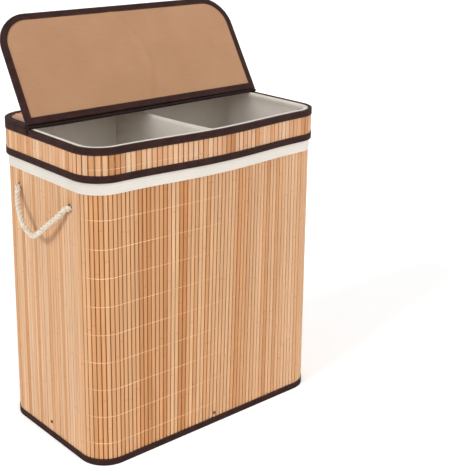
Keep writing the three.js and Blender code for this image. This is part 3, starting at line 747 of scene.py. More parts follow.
def stitch_tree():
    """Geometry nodes: a short round stitch lying along each point's own direction."""
    tree, given = growing_tree("stitches", {"Length": "Float", "Radius": "Float"})
    ball = node(tree, "GeometryNodeMeshUVSphere", {"Segments": 6, "Rings": 4, "Radius": 1.0}).outputs[0]
    size = vector_of(tree, times(tree, given["Length"], 0.5), given["Radius"], given["Radius"])
    put_out(tree, realized(tree, copies(tree, given, ball, Scale=size)), given)
    return tree


def points_mesh(name, spots):
    """A mesh of points to grow on, each spot a place, a turn, a length and how open a slat's gaps are."""
    base = bpy.data.meshes.new(name)
    base.from_pydata([spot[0] for spot in spots], [], [])
    turns = base.attributes.new("slat_turn", "FLOAT_VECTOR", "POINT")
    turns.data.foreach_set("vector", [number for spot in spots for number in spot[1]])
    for attribute, column in (("slat_length", 2), ("slat_open", 3)):
        values = base.attributes.new(attribute, "FLOAT", "POINT")
        values.data.foreach_set("value", [spot[column] for spot in spots])
    return base


def grown(name, base, tree, body, slot, **inputs):
    """A piece grown by geometry nodes from a base mesh, as a plain mesh riding on a body."""
    made = new_object(name, base)
    modifier = made.modifiers.new("nodes", "NODES")
    modifier.node_group = tree
    sockets = {item.name: item.identifier for item in tree.interface.items_tree if item.in_out == "INPUT"}
    for key, value in inputs.items():
        modifier[sockets[key.replace("_", " ").capitalize()]] = value
    made.update_tag()
    make_plain(made)
    made.data.name = name
    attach(made, body)
    return made


def make_plain(piece):
    """Turns what a piece's modifiers make into its mesh."""
    mesh = bpy.data.meshes.new_from_object(piece.evaluated_get(bpy.context.evaluated_depsgraph_get()))
    piece.modifiers.clear()
    piece.data = mesh


# Wall: a sheet of split bamboo slats laid side by side, tied by rows of thread, wrapped once round the body.
# The long sides bulge out towards the cuff. Each slat has its own tone and grain, and here and there a ring.
bamboo = bamboo_group()
# The wall's bamboo takes a painted sheen where its gaps are tight, painted shade where they stand open, and
# painted shade at the slats' edges.
wall_bamboo = bamboo_material("bamboo_slats", 0.9, 0.66, (1.01, 1.09, 1.15), (0.96, 0.90, 0.77))
slats = slat_tree()
wall_pitch = 8.4 * mm
wall_thickness = 3 * mm
wall_crown = 0.9 * mm
wall_set_back = 0.35 * mm
slat_space = 0.15 * mm
open_space = 0.85 * mm
wall_count = round(plan_length / wall_pitch)
wall_step = plan_length / wall_count
# How far the gaps stand open, as shares: everywhere, then more on the long sides, towards their start and as
# the sheet comes round its corners.
open_shares = {"least": 0.08, "long_side": 0.58, "start": 0.38, "rounding": 0.3}


# The long sides open up over these values of the outward direction's share towards the front or rear.
opening_from = 0.03
opening_over = 0.14


def sheet_open(distance):
    """How far the gaps stand open at a place along the plan: widest where the long sides start to bulge."""
    centre, facing = plan_place(distance)
    along_side = math.sin(facing) * centre.x / half_straight
    turned = clamped((abs(math.sin(facing)) - opening_from) / opening_over)
    rounding = abs(math.sin(2 * facing)) * max(0.0, along_side)
    more = open_shares["long_side"] + open_shares["start"] * along_side + open_shares["rounding"] * rounding
    return open_shares["least"] + turned * more


def middles(count):
    """Where slats standing side by side have their middles along the plan, and the turn of each."""
    out = []
    for i in range(count):
        distance = (i + 0.5) * plan_length / count
        out.append((distance, (0, 0, plan_place(distance)[1] - math.pi / 2)))
    return out


def slats_round_body(name, offset, thickness, count, bottom, top):
    """The points of slats standing side by side round the body, their outer faces at an offset."""
    return points_mesh(name, [(upright(distance, offset - thickness / 2, bottom), turn, top - bottom,
                               sheet_open(distance)) for distance, turn in middles(count)])


wall_points = slats_round_body("wall_points", 0, wall_thickness, wall_count, wall_low.z, wall_high.z)
wall = grown("wall_bamboo", wall_points, slats, "hamper", "bamboo", width=wall_step - slat_space,
             thickness=wall_thickness, crown=wall_crown, levels=6, width_spread=0.05, space=open_space,
             set_back=wall_set_back, seed=11, material=wall_bamboo, **round_body_values)


# Threads: rows of cotton thread that tie the slats into a sheet. Each runs over every slat and dips between
# them. Their colour is a painted highlight: pale in each corner before a long side and along the start of
# that side, slat-coloured elsewhere, where they also sink into the slats.
thread_material, thread_nodes, thread_shader = new_material("cotton_thread", 0.8)
# Painted highlight: the thread's colour runs from the slats' tone to pale by how far it shows.
thread_painted_highlight = node(thread_nodes, "ShaderNodeAttribute", attribute_name="thread_show").outputs["Fac"]
thread_fray = cloud(thread_nodes, object_place(thread_nodes), 260.0, 3.0)
thread_mix = maths(thread_nodes, "MULTIPLY_ADD", thread_fray, 0.5, -0.25)
thread_tint = graded(thread_nodes, maths(thread_nodes, "ADD", thread_painted_highlight, thread_mix),
                     [(0.0, (222, 170, 122)), (1.0, (255, 228, 190))])
surfaced(thread_nodes, thread_shader, thread_tint, thread_fray, 0.5, 0.3 * mm)
threads = thread_tree()
thread_radius = 0.42 * mm
thread_sink = 0.55 * mm
thread_slant = 0.25 * mm
thread_dip = 1.3 * mm
thread_fade_share = 0.75
thread_rise = 2.4
thread_rise_late = 0.1
thread_least_share = 0.8
thread_change_share = 0.7
thread_lowest = 42.6 * mm
thread_spacing = 51.3 * mm
thread_heights = [thread_lowest + thread_spacing * i for i in range(9)]


def thread_show(distance):
    """How far the thread stands out, which sets its painted highlight and how deep it sinks: it rises in the
    corner before a long side and fades along it.
    """
    k, along, turned = plan_walk(distance)
    long_side = plan_sides[k] > 2 * half_depth
    if turned is None:
        return max(0.0, 1 - along / (thread_fade_share * plan_sides[k])) if long_side else 0.0
    return 0.0 if long_side else clamped(thread_rise * turned / corner_arc - thread_rise_late)


def thread_rows(name, offset, count, heights, body, strength, width, dip):
    """Rows of thread over slats whose faces stand at an offset from the plan."""
    spots, shows = [], []
    for height in heights:
        for distance, turn in middles(count):
            change = noise.noise(Vector((distance * 25, height * 40, 1.3)))
            spell = thread_least_share + thread_change_share * change
            show = min(1, strength * spell * thread_show(distance))
            spots.append((upright(distance, offset - (1 - show) * thread_sink, height), turn, 1.0, 0.0))
            shows.append(show)
    base = points_mesh(name, spots)
    base.attributes.new("thread_show", "FLOAT", "POINT").data.foreach_set("value", shows)
    return grown(name, base, threads, body, "bamboo", width=width, dip=dip, radius=thread_radius,
                 slant=thread_slant, material=thread_material, **round_body_values)


thread_rows("wall_thread", 0, wall_count, thread_heights, "hamper", 1.0, wall_step, thread_dip)


# Stitches: the sewn seams along the tapes and the hem, each stitch a short raised thread.
stitches = stitch_tree()
stitch_pitch = 4 * mm
stitch_length = 2.7 * mm
stitch_radius = 0.32 * mm
seam_inset = 1.6 * mm
dark_thread = new_material("dark_thread", 0.6, base_color=linear(78, 56, 50))[0]
pale_thread = new_material("pale_thread", 0.8, base_color=linear(226, 218, 205))[0]


def seam(name, lines, body, slot, material):
    """Stitches at an even pitch along closed lines of points, each given with the way that its face looks."""
    spots = []
    for line, outward in lines:
        places = evenly([*line, line[0]], stitch_pitch)
        for behind, ahead in zip(places, places[1:]):
            along = (ahead - behind).normalized()
            turn = Matrix((along, outward.cross(along), outward)).transposed().to_euler()
            spots.append(((behind + ahead) / 2, tuple(turn), 1.0, 0.0))
    return grown(name, points_mesh(name, spots), stitches, body, slot, length=stitch_length,
                 radius=stitch_radius, material=material)


def round_body(offset, z):
    """A closed line round the body at an offset outside the slats' faces and a height."""
    return [on_body(s, offset, z) for s in plan_steps(band_spacing)], Vector((0, 0, 1))


# Bands round the body: each is a closed section swept round the plan.
def tape_material(name, light, dark):
    """A dark woven tape: fine ribs across it and a faint mottle."""
    made, tree, shader = new_material(name, 0.7, specular_ior_level=0.14)
    rib_pitch = 0.9 * mm
    parts = parts_of(tree, surface_place(tree))
    ribs = maths(tree, "SINE", times(tree, parts[0], 2 * math.pi / rib_pitch))
    cross = maths(tree, "SINE", times(tree, parts[1], 4 * math.pi / rib_pitch))
    mottle = cloud(tree, object_place(tree), 60.0, 6.0)
    height = maths(tree, "MULTIPLY_ADD", mottle, 0.8, times(tree, ribs, cross))
    surfaced(tree, shader, graded(tree, mottle, [(0.32, dark), (0.68, light)]), height, 0.4, 0.2 * mm)
    return made


tape = tape_material("dark_tape", (60, 35, 30), (43, 25, 22))
band_rounding = 0.5 * mm


def body_band(name, section, body, material, radius=band_rounding):
    """A band round the body of a section whose corners are rounded."""
    rows = [round_body(offset, z)[0] for offset, z in rounded_section(section, radius)]
    made = new_piece(name, finished(shell(rows), name), material, body)
    return made


# Backing: a strip behind the slats, coloured dark brown as painted shade, which shows as a dark line in each
# gap.
gap_shade_brown = linear(150, 96, 58)
backing_material = new_material("backing_gap_shade", 0.9, specular_ior_level=0.1, base_color=gap_shade_brown)[0]
backing_front = -2.3 * mm
backing_rear = -2.9 * mm
backing_low = wall_low.z + 1 * mm
backing_high = wall_high.z - 1 * mm
backing_rounding = 0.1 * mm
backing_section = [(backing_rear, backing_low), (backing_front, backing_low),
                   (backing_front, backing_high), (backing_rear, backing_high)]
backing = body_band("wall_backing", backing_section, "hamper", backing_material, backing_rounding)


# Rope holes: bored through slats and backing, a little wider than the rope.
rope_hole_radius = 6.9 * mm
rope_hole_rise = 1.8 * mm
hole_shape = bmesh.new()
for side in (-1, 1):
    for end in (-1, 1):
        bored = [Vector((side * (half_width + out), end * rope_hole_y, rope_hole_z + rope_hole_rise))
                 for out in (-2 * wall_thickness, wall_thickness)]
        add_tube(hole_shape, bored, rope_hole_radius, 24)
hole_cutter = new_object("rope_holes", finished(hole_shape, "rope_holes"))
for bored_piece in (wall, backing):
    cut = bored_piece.modifiers.new("rope_holes", "BOOLEAN")
    cut.operation = "DIFFERENCE"
    cut.solver = "EXACT"
    cut.object = hole_cutter
    make_plain(bored_piece)
bpy.data.objects.remove(hole_cutter)
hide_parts("wall_slats")


# Bottom tape: a dark tape folded round the lower edge, a channel that stands on the floor.
bottom_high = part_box("bottom_binding")[1]
tape_thickness = 0.6 * mm
space = 0.3 * mm
web = 0.8 * mm
bottom_outside = bottom_high.x - half_width
bottom_inside = -wall_thickness - bottom_outside
bottom_section = [
    (bottom_inside, 0),
    (bottom_outside, 0),
    (bottom_outside, bottom_high.z),
    (bottom_outside - tape_thickness, bottom_high.z),
    (bottom_outside - tape_thickness, web),
    (bottom_inside + tape_thickness, web),
    (bottom_inside + tape_thickness, bottom_high.z),
    (bottom_inside, bottom_high.z),
]
bottom_tape = body_band("bottom_tape", bottom_section, "hamper", tape)
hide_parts("bottom_binding")
bottom_seam = round_body(bottom_outside, bottom_high.z - seam_inset)
seam("bottom_seam", [bottom_seam], "hamper", "dark_binding", dark_thread)


# Tacks: bronzed upholstery tacks through the wall into the battens, one in the middle of each side.
tack_material, tack_tree, tack_shader = new_material("bronzed_steel", 0.42, metallic=0.85)
tack_cloud = cloud(tack_tree, object_place(tack_tree), 900.0, 3.0)
surfaced(tack_tree, tack_shader, graded(tack_tree, tack_cloud, [(0.0, (74, 58, 46)), (1.0, (116, 94, 74))]))
tack_sides = 24
tack_shank = 1 * mm
tack_head_height = 1.4 * mm
dome_steps = 6
for side_name in ("front", "rear", "left", "right"):
    low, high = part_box(f"tack_{side_name}")
    axis = 0 if side_name in ("left", "right") else 1
    outward = Vector((0, 0, 0))
    outward[axis] = 1 if side_name in ("rear", "right") else -1
    inner, outer = sorted((abs(low[axis]), abs(high[axis])))
    head_radius = (high.z - low.z) / 2
    brim = outer - tack_head_height
    profile = [(tack_shank, inner + tack_shank), (tack_shank, brim), (head_radius, brim)]
    for i in range(1, dome_steps):
        dome = i / dome_steps * math.pi / 2
        profile.append((head_radius * math.cos(dome), brim + tack_head_height * math.sin(dome)))
    middle = (low + high) / 2
    middle[axis] = 0
    across = Vector((outward.y, outward.x, 0))
    rings = [round_points(middle + outward * reach, across, Vector((0, 0, 1)), radius, tack_sides)
             for radius, reach in profile]
    tack_shape = bmesh.new()
    loft(tack_shape, rings, False)
    tack = new_piece(f"tack_head_{side_name}", finished(tack_shape, "tack"), tack_material, "hamper")
    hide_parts(f"tack_{side_name}")


# Base, hoop and boards: raw wood, mostly hidden. They keep their CAD meshes.
wood, wood_tree, wood_shader = new_material("raw_wood", 0.75)
wood_grain = cloud(wood_tree, object_place(wood_tree), 1.0, 6.0, (6.0, 90.0, 90.0), Distortion=0.6)
wood_tint = graded(wood_tree, wood_grain, [(0.3, (164, 126, 84)), (0.7, (205, 170, 124))])
surfaced(wood_tree, wood_shader, wood_tint, wood_grain, 0.3, 0.4 * mm)
for name in ("rim_hoop", "base_board", "batten_front", "batten_rear", "batten_left", "batten_right",
             "collar_board", "rear_panel_board", "lid_board"):
    held = frame["nodes"][name]
    held.data.materials.clear()
    held.data.materials.append(wood)


# Liner: one sewn bag of off-white cloth, hung over the hoop and folded down outside the wall as a cuff whose
# hem shows below the cap. Its walls hang a little slack, and it bulges over the four rope knots.
def cloth_material(name, light, dark, thread):
    """Plain-woven cloth: threads over and under at their real pitch, a faint slub and a faint mottle."""
    made, tree, shader = new_material(name, 0.95, sheen_weight=0.15)
    place = surface_place(tree)
    parts = parts_of(tree, place)
    warp, weft = [maths(tree, "SINE", times(tree, part, math.pi / thread)) for part in parts[:2]]
    slub = cloud(tree, place, 1.0, 3.0, (40.0, 700.0, 1.0))
    mottle = cloud(tree, object_place(tree), 14.0, 4.0)
    mixed = maths(tree, "MULTIPLY_ADD", slub, 0.45, times(tree, mottle, 0.55))
    height = maths(tree, "MULTIPLY_ADD", slub, 1.5, times(tree, warp, weft))
    surfaced(tree, shader, graded(tree, mixed, [(0.36, dark), (0.64, light)]), height, 0.35, 0.2 * mm)
    return made


liner_cloth = cloth_material("liner_cloth", (234, 227, 217), (226, 218, 207), 0.7 * mm)
cloth = 0.8 * mm
bag_low, bag_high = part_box("liner_bag")
lath_inset = 1.9 * mm
hoop_thickness = 3 * mm
bag_outside = -(wall_thickness + space + hoop_thickness + space)
bag_inside = bag_outside - cloth
cuff_inside = space
cuff_outside = space + cloth
fold_outside = -lath_inset - space
fold_inside = fold_outside - cloth
wall_cover = wall_high.z + space
bag_steps = plan_steps(7 * mm, 14)
bag_levels = 40
knot_reach = 13 * mm
slack_wave = 2.2 * mm
hem_height = 4 * mm
# The divider's rear seam draws the bag's rear wall a little forward.
seam_pull = 9 * mm
pull_reach = 60 * mm
pull_start = 30 * mm
pull_foot = 120 * mm
rear_start = plan_sides[0] + corner_arc
rear_end = rear_start + plan_sides[1]
divider_seam = rear_start + half_straight + 4 * mm
# Soft folds that hang from the hoop: the place along the plan, the half widths before and after, the depth.
bag_folds = [
    (rear_start + 35 * mm, 75 * mm, 50 * mm, 7 * mm),
    (plan_sides[0] - 4 * mm, 45 * mm, 40 * mm, 6 * mm),
    (rear_start + 170 * mm, 40 * mm, 30 * mm, 3 * mm),
    (rear_start + 310 * mm, 50 * mm, 35 * mm, 4 * mm),
    (rear_end + 20 * mm, 50 * mm, 60 * mm, 6 * mm),
    (rear_end + corner_arc + 110 * mm, 40 * mm, 50 * mm, 4 * mm),
    (rear_end + 2 * corner_arc + plan_sides[0] + 100 * mm, 50 * mm, 40 * mm, 4 * mm),
    (plan_length - corner_arc - 90 * mm, 40 * mm, 50 * mm, 5 * mm),
]
fold_start = 45 * mm
fold_full_height = 250 * mm
fold_foot = 60 * mm
low_fold_share = 0.45


def slack(distance, z):
    """How far the hanging bag lies inwards of its taut place: folds, waves, and bumps over the rope knots."""
    below = bag_high.z - z
    above = z - bag_low.z
    hang = math.sin(math.pi * clamped(below / (bag_high.z - bag_low.z)))
    high_fold_share = (1 - low_fold_share) * clamped(above / fold_full_height)
    held = min(1, below / fold_start) * (low_fold_share + high_fold_share)
    fold = 0.0
    for at, before, after, depth in bag_folds:
        from_ridge = distance - at
        share = max(0.0, 1 - abs(from_ridge) / (before if from_ridge < 0 else after))
        fold = max(fold, depth * share * share * (3 - 2 * share) * held)
    wave = (noise.noise(Vector((distance * 9, z * 5, 3.1))) + 0.5) * slack_wave
    taut = upright(distance, 0, z)
    bump = 0.0
    for end in (-1, 1):
        for across in (-1, 1):
            knot = Vector((end * half_width, across * rope_hole_y, rope_hole_z))
            bump = max(bump, knot_reach * math.exp(-(((taut - knot).length / knot_reach) ** 2)))
    pulled = max(0.0, 1 - abs(distance - divider_seam) / pull_reach)
    pull = seam_pull * pulled ** 2 * min(1, below / pull_start) * clamped(above / pull_foot)
    return hang * max(0.0, wave) + fold * clamped(above / fold_foot) + bump + pull


# The bag's section, from its floor up behind the hoop, over it and down the cuff, then back and down inside.
# The fuller inner edge of its fold is given as millimetres from the bag's inside and top.
inner_fold = [(-0.6, 1.1), (-2.6, 0.8), (-4.2, -0.7), (-4.7, -3.2), (-2.8, -8)]
over = [
    (bag_outside, bag_high.z - cloth),
    (fold_inside, bag_high.z - cloth),
    (fold_inside, wall_cover),
    (cuff_inside, wall_cover),
    (cuff_inside, cuff_bottom),
    (cuff_outside, cuff_bottom),
    (cuff_outside, wall_cover + cloth),
    (fold_outside, wall_cover + cloth),
    (fold_outside, bag_high.z - cloth / 2),
    (fold_outside - cloth / 2, bag_high.z),
]
over += [(bag_inside + inwards * mm, bag_high.z + up * mm) for inwards, up in inner_fold]
bag_heights = [bag_low.z + (bag_high.z - cloth - bag_low.z) * i / bag_levels for i in range(1, bag_levels)]
bag_rows = [[on_body(s, bag_outside, bag_low.z) for s in bag_steps]]
bag_rows += [[on_body(s, bag_outside - slack(s, z), z) for s in bag_steps] for z in bag_heights]
bag_rows += [[on_body(s, offset, z) for s in bag_steps] for offset, z in over]
bag_rows += [[on_body(s, bag_inside - slack(s, z), z) for s in bag_steps] for z in reversed(bag_heights)]
bag_rows.append([on_body(s, bag_inside, bag_low.z + cloth) for s in bag_steps])
bag_shape = shell(bag_rows, loop=False, turned=True)
bag = new_piece("liner", finished(bag_shape, "liner"), liner_cloth, "hamper")
bag.data.set_sharp_from_angle(angle=math.radians(50))
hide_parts("liner_bag")
hem_line = round_body(cuff_outside, cuff_bottom + hem_height)
hem = seam("cuff_seam", [hem_line], "hamper", "liner_cloth", pale_thread)


# Divider: a doubled cloth panel sewn across the bag from front to rear, its hemmed top edge sagging.
divider_low, divider_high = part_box("liner_divider")
divider_front_x = 8 * mm
divider_rear_x = -4 * mm
divider_sag = 4 * mm
divider_half_thickness = 1.1 * mm
divider_gap = 0.6 * mm
divider_ripple = 3 * mm
divider_steps = 60
thin_edge_share = 0.35
side_taper = 20
top_taper = 30
divider_sheets = []
for face_side in (1, -1):
    columns = []
    for i in range(divider_steps + 1):
        share = 2 * i / divider_steps - 1
        column = []
        for j in range(divider_steps + 1):
            rise = j / divider_steps
            top = divider_high.z - divider_sag * (1 - share ** 2)
            z = divider_low.z + (top - divider_low.z) * rise
            widening = 1 + bulge / half_depth * min(1, z / cuff_bottom)
            reach = (half_depth + bag_inside - divider_gap) * widening
            lean = (divider_front_x + divider_rear_x) / 2 - (divider_front_x - divider_rear_x) / 2 * share
            loose = math.sin(math.pi * rise) * (1 - share ** 4)
            ripple = noise.noise(Vector((share * 2.3, rise * 2.1, 7.7))) * divider_ripple * loose
            edge = min(1.0, (1 - abs(share)) * side_taper, rise * side_taper, (1 - rise) * top_taper)
            thick_share = thin_edge_share + (1 - thin_edge_share) * math.sqrt(max(0.0, edge))
            x = lean + ripple + face_side * divider_half_thickness * thick_share
            column.append(Vector((x, reach * share, z)))
        columns.append(column)
    divider_sheets.append(columns)
divider_shape = pad(divider_sheets, lambda point: (point.y, point.z), True)
divider = new_piece("divider", finished(divider_shape, "divider"), liner_cloth, "hamper")
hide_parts("liner_divider")


# Cap ring: a thin board wrapped with short wide slats, with a dark tape round each of its edges.
# Painted shade at its slats' edges, as on the wall.
collar_bamboo = bamboo_material("cap_bamboo", 1.0, 0.85)
collar_slat_low, collar_slat_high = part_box("collar_slats")
collar_outside = collar_slat_high.x - half_width
collar_thickness = 1.2 * mm
collar_crown = 0.35 * mm
collar_set_back = 0.15 * mm
collar_pitch = 10.4 * mm
collar_count = round(plan_length / collar_pitch)
collar_points = slats_round_body("cap_points", collar_outside, collar_thickness, collar_count,
                                 collar_slat_low.z, collar_slat_high.z)
collar_width = (plan_length + 2 * math.pi * collar_outside) / collar_count - slat_space
collar = grown("cap_slats", collar_points, slats, "cap", "bamboo", width=collar_width,
               thickness=collar_thickness, crown=collar_crown, levels=3, width_spread=0.08, space=open_space,
               set_back=collar_set_back, seed=29, material=collar_bamboo, **round_body_values)
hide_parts("collar_slats")
collar_thread_height = 541 * mm
collar_thread_dip = 1 * mm
thread_rows("cap_thread", collar_outside, collar_count, [collar_thread_height], "cap", 0.8,
            collar_width + slat_space, collar_thread_dip)

top_low, top_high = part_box("collar_top_binding")
cap_outside = top_high.x - half_width
cap_inside = cap_outside - tape_thickness
collar_inside = cuff_outside + space
top_section = [
    (-lath_inset, rim_height - web),
    (cap_inside, rim_height - web),
    (cap_inside, top_low.z),
    (cap_outside, top_low.z),
    (cap_outside, rim_height),
    (-lath_inset, rim_height),
]
cap_top_tape = body_band("cap_top_tape", top_section, "cap", tape)
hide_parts("collar_top_binding")
low_section = [
    (collar_inside, cap_low.z),
    (cap_outside, cap_low.z),
    (cap_outside, cap_high.z),
    (cap_inside, cap_high.z),
    (cap_inside, cap_low.z + web),
    (collar_inside, cap_low.z + web),
]
cap_low_tape = body_band("cap_low_tape", low_section, "cap", tape)
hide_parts("collar_bottom_binding")
cap_seams = [round_body(cap_outside, z) for z in (top_low.z + seam_inset, cap_high.z - seam_inset)]
seam("cap_seam", cap_seams, "cap", "dark_binding", dark_thread)


# Rear panel and lid: board with bamboo slats outside and tan cloth inside, bound round with dark tape. They
# are built lying flat, and the lid is turned into place about its hinge line.
hinge = next(joint for joint in frame["joints"] if joint["name"] == "lid_hinge")
hinge_place = Vector(hinge["pos_m"] if "pos_m" in hinge else hinge["pos"])
lid_angle = math.radians(121)
panel_half = 3.2 * mm
panel_half_width = top_high.x
panel_rounding = 1.6 * mm
lid_depth = 211 * mm
lid_corner = 62 * mm
hinge_roll_radius = 3.2 * mm
panel_band = 12.5 * mm
panel_pitch = 10.4 * mm
panel_open_space = 0.5 * mm
panel_set_back = 0.12 * mm
panel_open_share = 0.6
panel_end_gap = 1 * mm
lining_thickness = 0.6 * mm
lining_lift = 0.5 * mm
lining_end_gap = 0.3 * mm
seam_sink = 0.12 * mm
outline_spacing = 14 * mm
outline_corner_steps = 14
end_inset = tape_thickness + space
lid_rear = -hinge_roll_radius - space
rear_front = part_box("rear_panel_binding")[0].y
rear_back = half_depth + cap_outside
rear_corner = corner_radius + cap_outside
tan_cloth = cloth_material("tan_lining", (186, 141, 105), (177, 132, 96), 0.5 * mm)
# Painted shade at its slats' edges, as on the wall.
panel_bamboo = bamboo_material("panel_bamboo", 1.0, 0.7)


def rounded_outline(half, front, front_radius, rear, rear_radius, inset):
    """An anticlockwise outline with a corner radius in front and at the rear, moved inwards by an inset."""
    front_r = max(0.0, front_radius - inset) if front_radius else 0.0
    rear_r = max(0.0, rear_radius - inset) if rear_radius else 0.0
    wide = half - inset
    high, low = rear - inset - rear_r, front + inset + front_r
    corners = [(wide - rear_r, high, rear_r), (rear_r - wide, high, rear_r),
               (front_r - wide, low, front_r), (wide - front_r, low, front_r)]
    side_length = rear - front - front_radius - rear_radius
    lengths = [2 * (half - rear_radius), side_length, 2 * (half - front_radius), side_length]

    def at(corner, quarter):
        x, y, radius = corner
        angle = math.pi / 2 * quarter
        return Vector((x + radius * math.cos(angle), y + radius * math.sin(angle), 0))

    out = []
    for k, length in enumerate(lengths):
        steps = outline_corner_steps if corners[k][2] > 0 else 0
        out += [at(corners[k], k + i / max(1, steps)) for i in range(steps + 1)]
        start = out[-1]
        end = at(corners[(k + 1) % 4], k + 1)
        count = round(length / outline_spacing)
        out += [start.lerp(end, i / count) for i in range(1, count)]
    return out


def lid_outline(inset):
    """The lid's outline about its hinge line."""
    return rounded_outline(panel_half_width, -lid_depth, lid_corner, lid_rear, 0, inset)


def rear_push(x, y):
    """How far the rear panel's bulge moves a point back, from nothing at its front edge."""
    return bulge_share(x) * rear_back * (y - rear_front) / (rear_back - rear_front)


def rear_outline(inset):
    """The rear panel's outline, whose back edge bulges with the body."""
    out = rounded_outline(panel_half_width, rear_front, 0, rear_back, rear_corner, inset)
    for point in out:
        point.y += rear_push(point.x, point.y)
    return out


def corner_cut(outer, corner):
    """How much a rounded corner takes off a slat's end, from how far out its outer edge is."""
    radius = corner - end_inset
    over_corner = max(0.0, outer - (panel_half_width - corner))
    return radius - math.sqrt(max(0.0, radius ** 2 - min(over_corner, radius) ** 2))


def lid_ends(outer):
    """Where a lid slat starts and ends, from how far out its outer edge is."""
    return -lid_depth + end_inset + corner_cut(outer, lid_corner), lid_rear - end_inset


def rear_ends(outer):
    """Where a rear panel slat starts and ends, from how far out its outer edge is."""
    rear = rear_back - end_inset - corner_cut(outer, rear_corner)
    return rear_front + end_inset, rear + rear_push(outer, rear)


def lid_crease(x, y):
    """The lining's one long soft crease, which bends across the lid from its free edge to its hinge."""
    depth, left_width, right_width = 2.3 * mm, 11 * mm, 7 * mm
    farthest_x, farthest_y, bend = 31 * mm, -95 * mm, 4.6
    away = x - (farthest_x - bend * (y - farthest_y) ** 2)
    return depth * math.exp(-((away / (left_width if away < 0 else right_width)) ** 2))


def panel(name, outline, ends, place, body, seed, crease=None):
    """A bound panel of tape, slats and lining, from an outline, a rule for its slats' ends and a crease."""
    face = panel_half - tape_thickness
    turned = place.to_3x3()
    section = [(-panel_band, -panel_half), (0, -panel_half), (0, panel_half), (-panel_band, panel_half),
               (-panel_band, face), (-tape_thickness, face), (-tape_thickness, -face), (-panel_band, -face)]

    def level_line(inset, z):
        return [place @ Vector((p.x, p.y, z)) for p in outline(inset)]

    rows = [level_line(-offset, z) for offset, z in rounded_section(section, panel_rounding, 4)]
    edge = new_piece(f"{name}_tape", finished(shell(rows), name), tape, body)
    edge.data.set_sharp_from_angle(angle=math.radians(40))
    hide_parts(f"{name}_binding")
    seams = [(level_line(panel_band - seam_inset, level), turned @ Vector((0, 0, 1)))
             for level in (seam_sink - panel_half, panel_half)]
    seam(f"{name}_seam", seams, body, "dark_binding", dark_thread)

    count = round(2 * panel_half_width / panel_pitch)
    step = 2 * panel_half_width / count
    turn = tuple((turned @ Matrix(((-1, 0, 0), (0, 0, 1), (0, 1, 0)))).to_euler())
    spots = []
    for i in range(count):
        middle = (i + 0.5) * step - panel_half_width
        front, rear = ends(min(abs(middle) + step / 2, panel_half_width - panel_end_gap))
        at = place @ Vector((middle, front, face - space - collar_thickness / 2))
        spots.append((at, turn, rear - front, panel_open_share))
    cover = grown(f"{name}_bamboo", points_mesh(name, spots), slats, body, "bamboo", width=step - slat_space,
                  thickness=collar_thickness, crown=collar_crown, levels=3, width_spread=0.06,
                  space=panel_open_space, set_back=panel_set_back, seed=seed, material=panel_bamboo,
                  **flat_values)
    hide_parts(f"{name}_slats")

    columns, depth_steps = 120, 40
    lining_half = panel_half_width - end_inset
    sheets = []
    for level in (0, lining_thickness):
        sheet = []
        for i in range(columns + 1):
            x_share = 2 * i / columns - 1
            x = x_share * lining_half
            front, rear = ends(abs(x) + lining_end_gap)
            line = []
            for j in range(depth_steps + 1):
                y = front + (rear - front) * j / depth_steps
                lift = 0.0
                if level == 0:
                    held = math.sin(math.pi * j / depth_steps) ** 0.5 * (1 - x_share ** 6)
                    creased = crease(x, y) if crease else 0.0
                    lift = held * (creased + lining_lift * noise.noise(Vector((x * 12, y * 9, seed))))
                line.append(place @ Vector((x, y, space - face + level - lift)))
            sheet.append(line)
        sheets.append(sheet)
    back = place.inverted()
    lining_shape = pad(sheets, lambda point: (back @ point).xy, False)
    lining = new_piece(f"{name}_cloth", finished(lining_shape, name), tan_cloth, body)
    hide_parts(f"{name}_lining")
    lining_front, lining_rear = ends(0)


lid_place = Matrix.Translation(hinge_place) @ Matrix.Rotation(-lid_angle, 4, "X")
panel("lid", lid_outline, lid_ends, lid_place, "lid", 41, lid_crease)
panel("rear_panel", rear_outline, rear_ends, Matrix.Translation((0, 0, hinge_place.z)), "cap", 53)


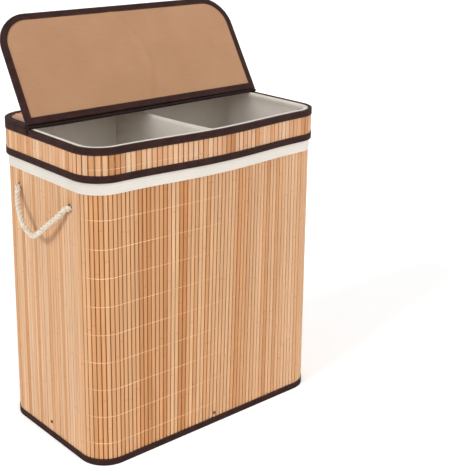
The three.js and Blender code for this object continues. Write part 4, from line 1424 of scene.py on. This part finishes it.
# Hinge: a strip of tape, rolled along the lid's rear edge, sagging most near its left end, and tucked in at
# both ends of the cap. The roll and the tucked ends are coloured darker than the other tapes as painted
# shade.
roll_sag = 2.4 * mm
roll_steps = 60
roll_sides = 20
sag_end_share = 1 / 6
roll_points = []
for i in range(roll_steps + 1):
    share = i / roll_steps
    sag = roll_sag * math.sin(math.pi * min(1, share / sag_end_share) / 2) * (1 - share)
    roll_points.append(Vector((panel_half_width * (2 * share - 1), hinge_place.y, hinge_place.z - sag)))
roll_shape = bmesh.new()
add_tube(roll_shape, roll_points, hinge_roll_radius, roll_sides)
# Painted shade: the roll takes a darker copy of the tape, for the shade under the lid's fold.
shaded_tape = tape_material("hinge_tape", (38, 24, 22), (26, 16, 15))
roll = new_piece("hinge_tape", finished(roll_shape, "hinge_tape"), shaded_tape, "lid")
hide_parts("hinge_roll")

# Painted shade: the tucked ends are near-black, for the shade in the notch beside the hinge.
shade_material = new_material("tucked_tape_painted_shade", 0.95, specular_ior_level=0.0, base_color=linear(24, 16, 15))[0]
tuck_half = 1.7 * mm
tuck_high = 9 * mm
tuck_rise = 0.2 * mm
tuck_rounding = 0.8 * mm
tuck_reaches = (-0.6 * mm, 0.35 * mm)
tuck_corners = [(-tuck_half, -tuck_high), (tuck_half, -tuck_high), (tuck_half, 0), (-tuck_half, 0)]
for side, name in ((-1, "left"), (1, "right")):
    tuck_rows = []
    for reach in tuck_reaches:
        x = side * (half_width + cap_outside + reach)
        tuck_rows.append([Vector((x, hinge_place.y + y, rim_height + z + tuck_rise))
                          for y, z in rounded_section(tuck_corners, tuck_rounding)])
    tuck_mesh = finished(shell(tuck_rows, loop=False), "hinge_tuck")
    tuck = new_piece(f"hinge_tuck_{name}", tuck_mesh, shade_material, "cap")
    tuck.data.set_sharp_from_angle(angle=math.radians(40))


# Key lights: a narrow one on everything but the liner and the divider, and a wide one on those two.
for light_name, on_cloth in (("key", False), ("cloth_key", True)):
    lit = bpy.data.collections.new(f"{light_name}_receivers")
    for piece in bpy.context.scene.objects:
        if piece.type == "MESH" and (piece in (bag, divider)) == on_cloth:
            lit.objects.link(piece)
    bpy.data.objects[light_name].light_linking.receiver_collection = lit

low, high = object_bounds()
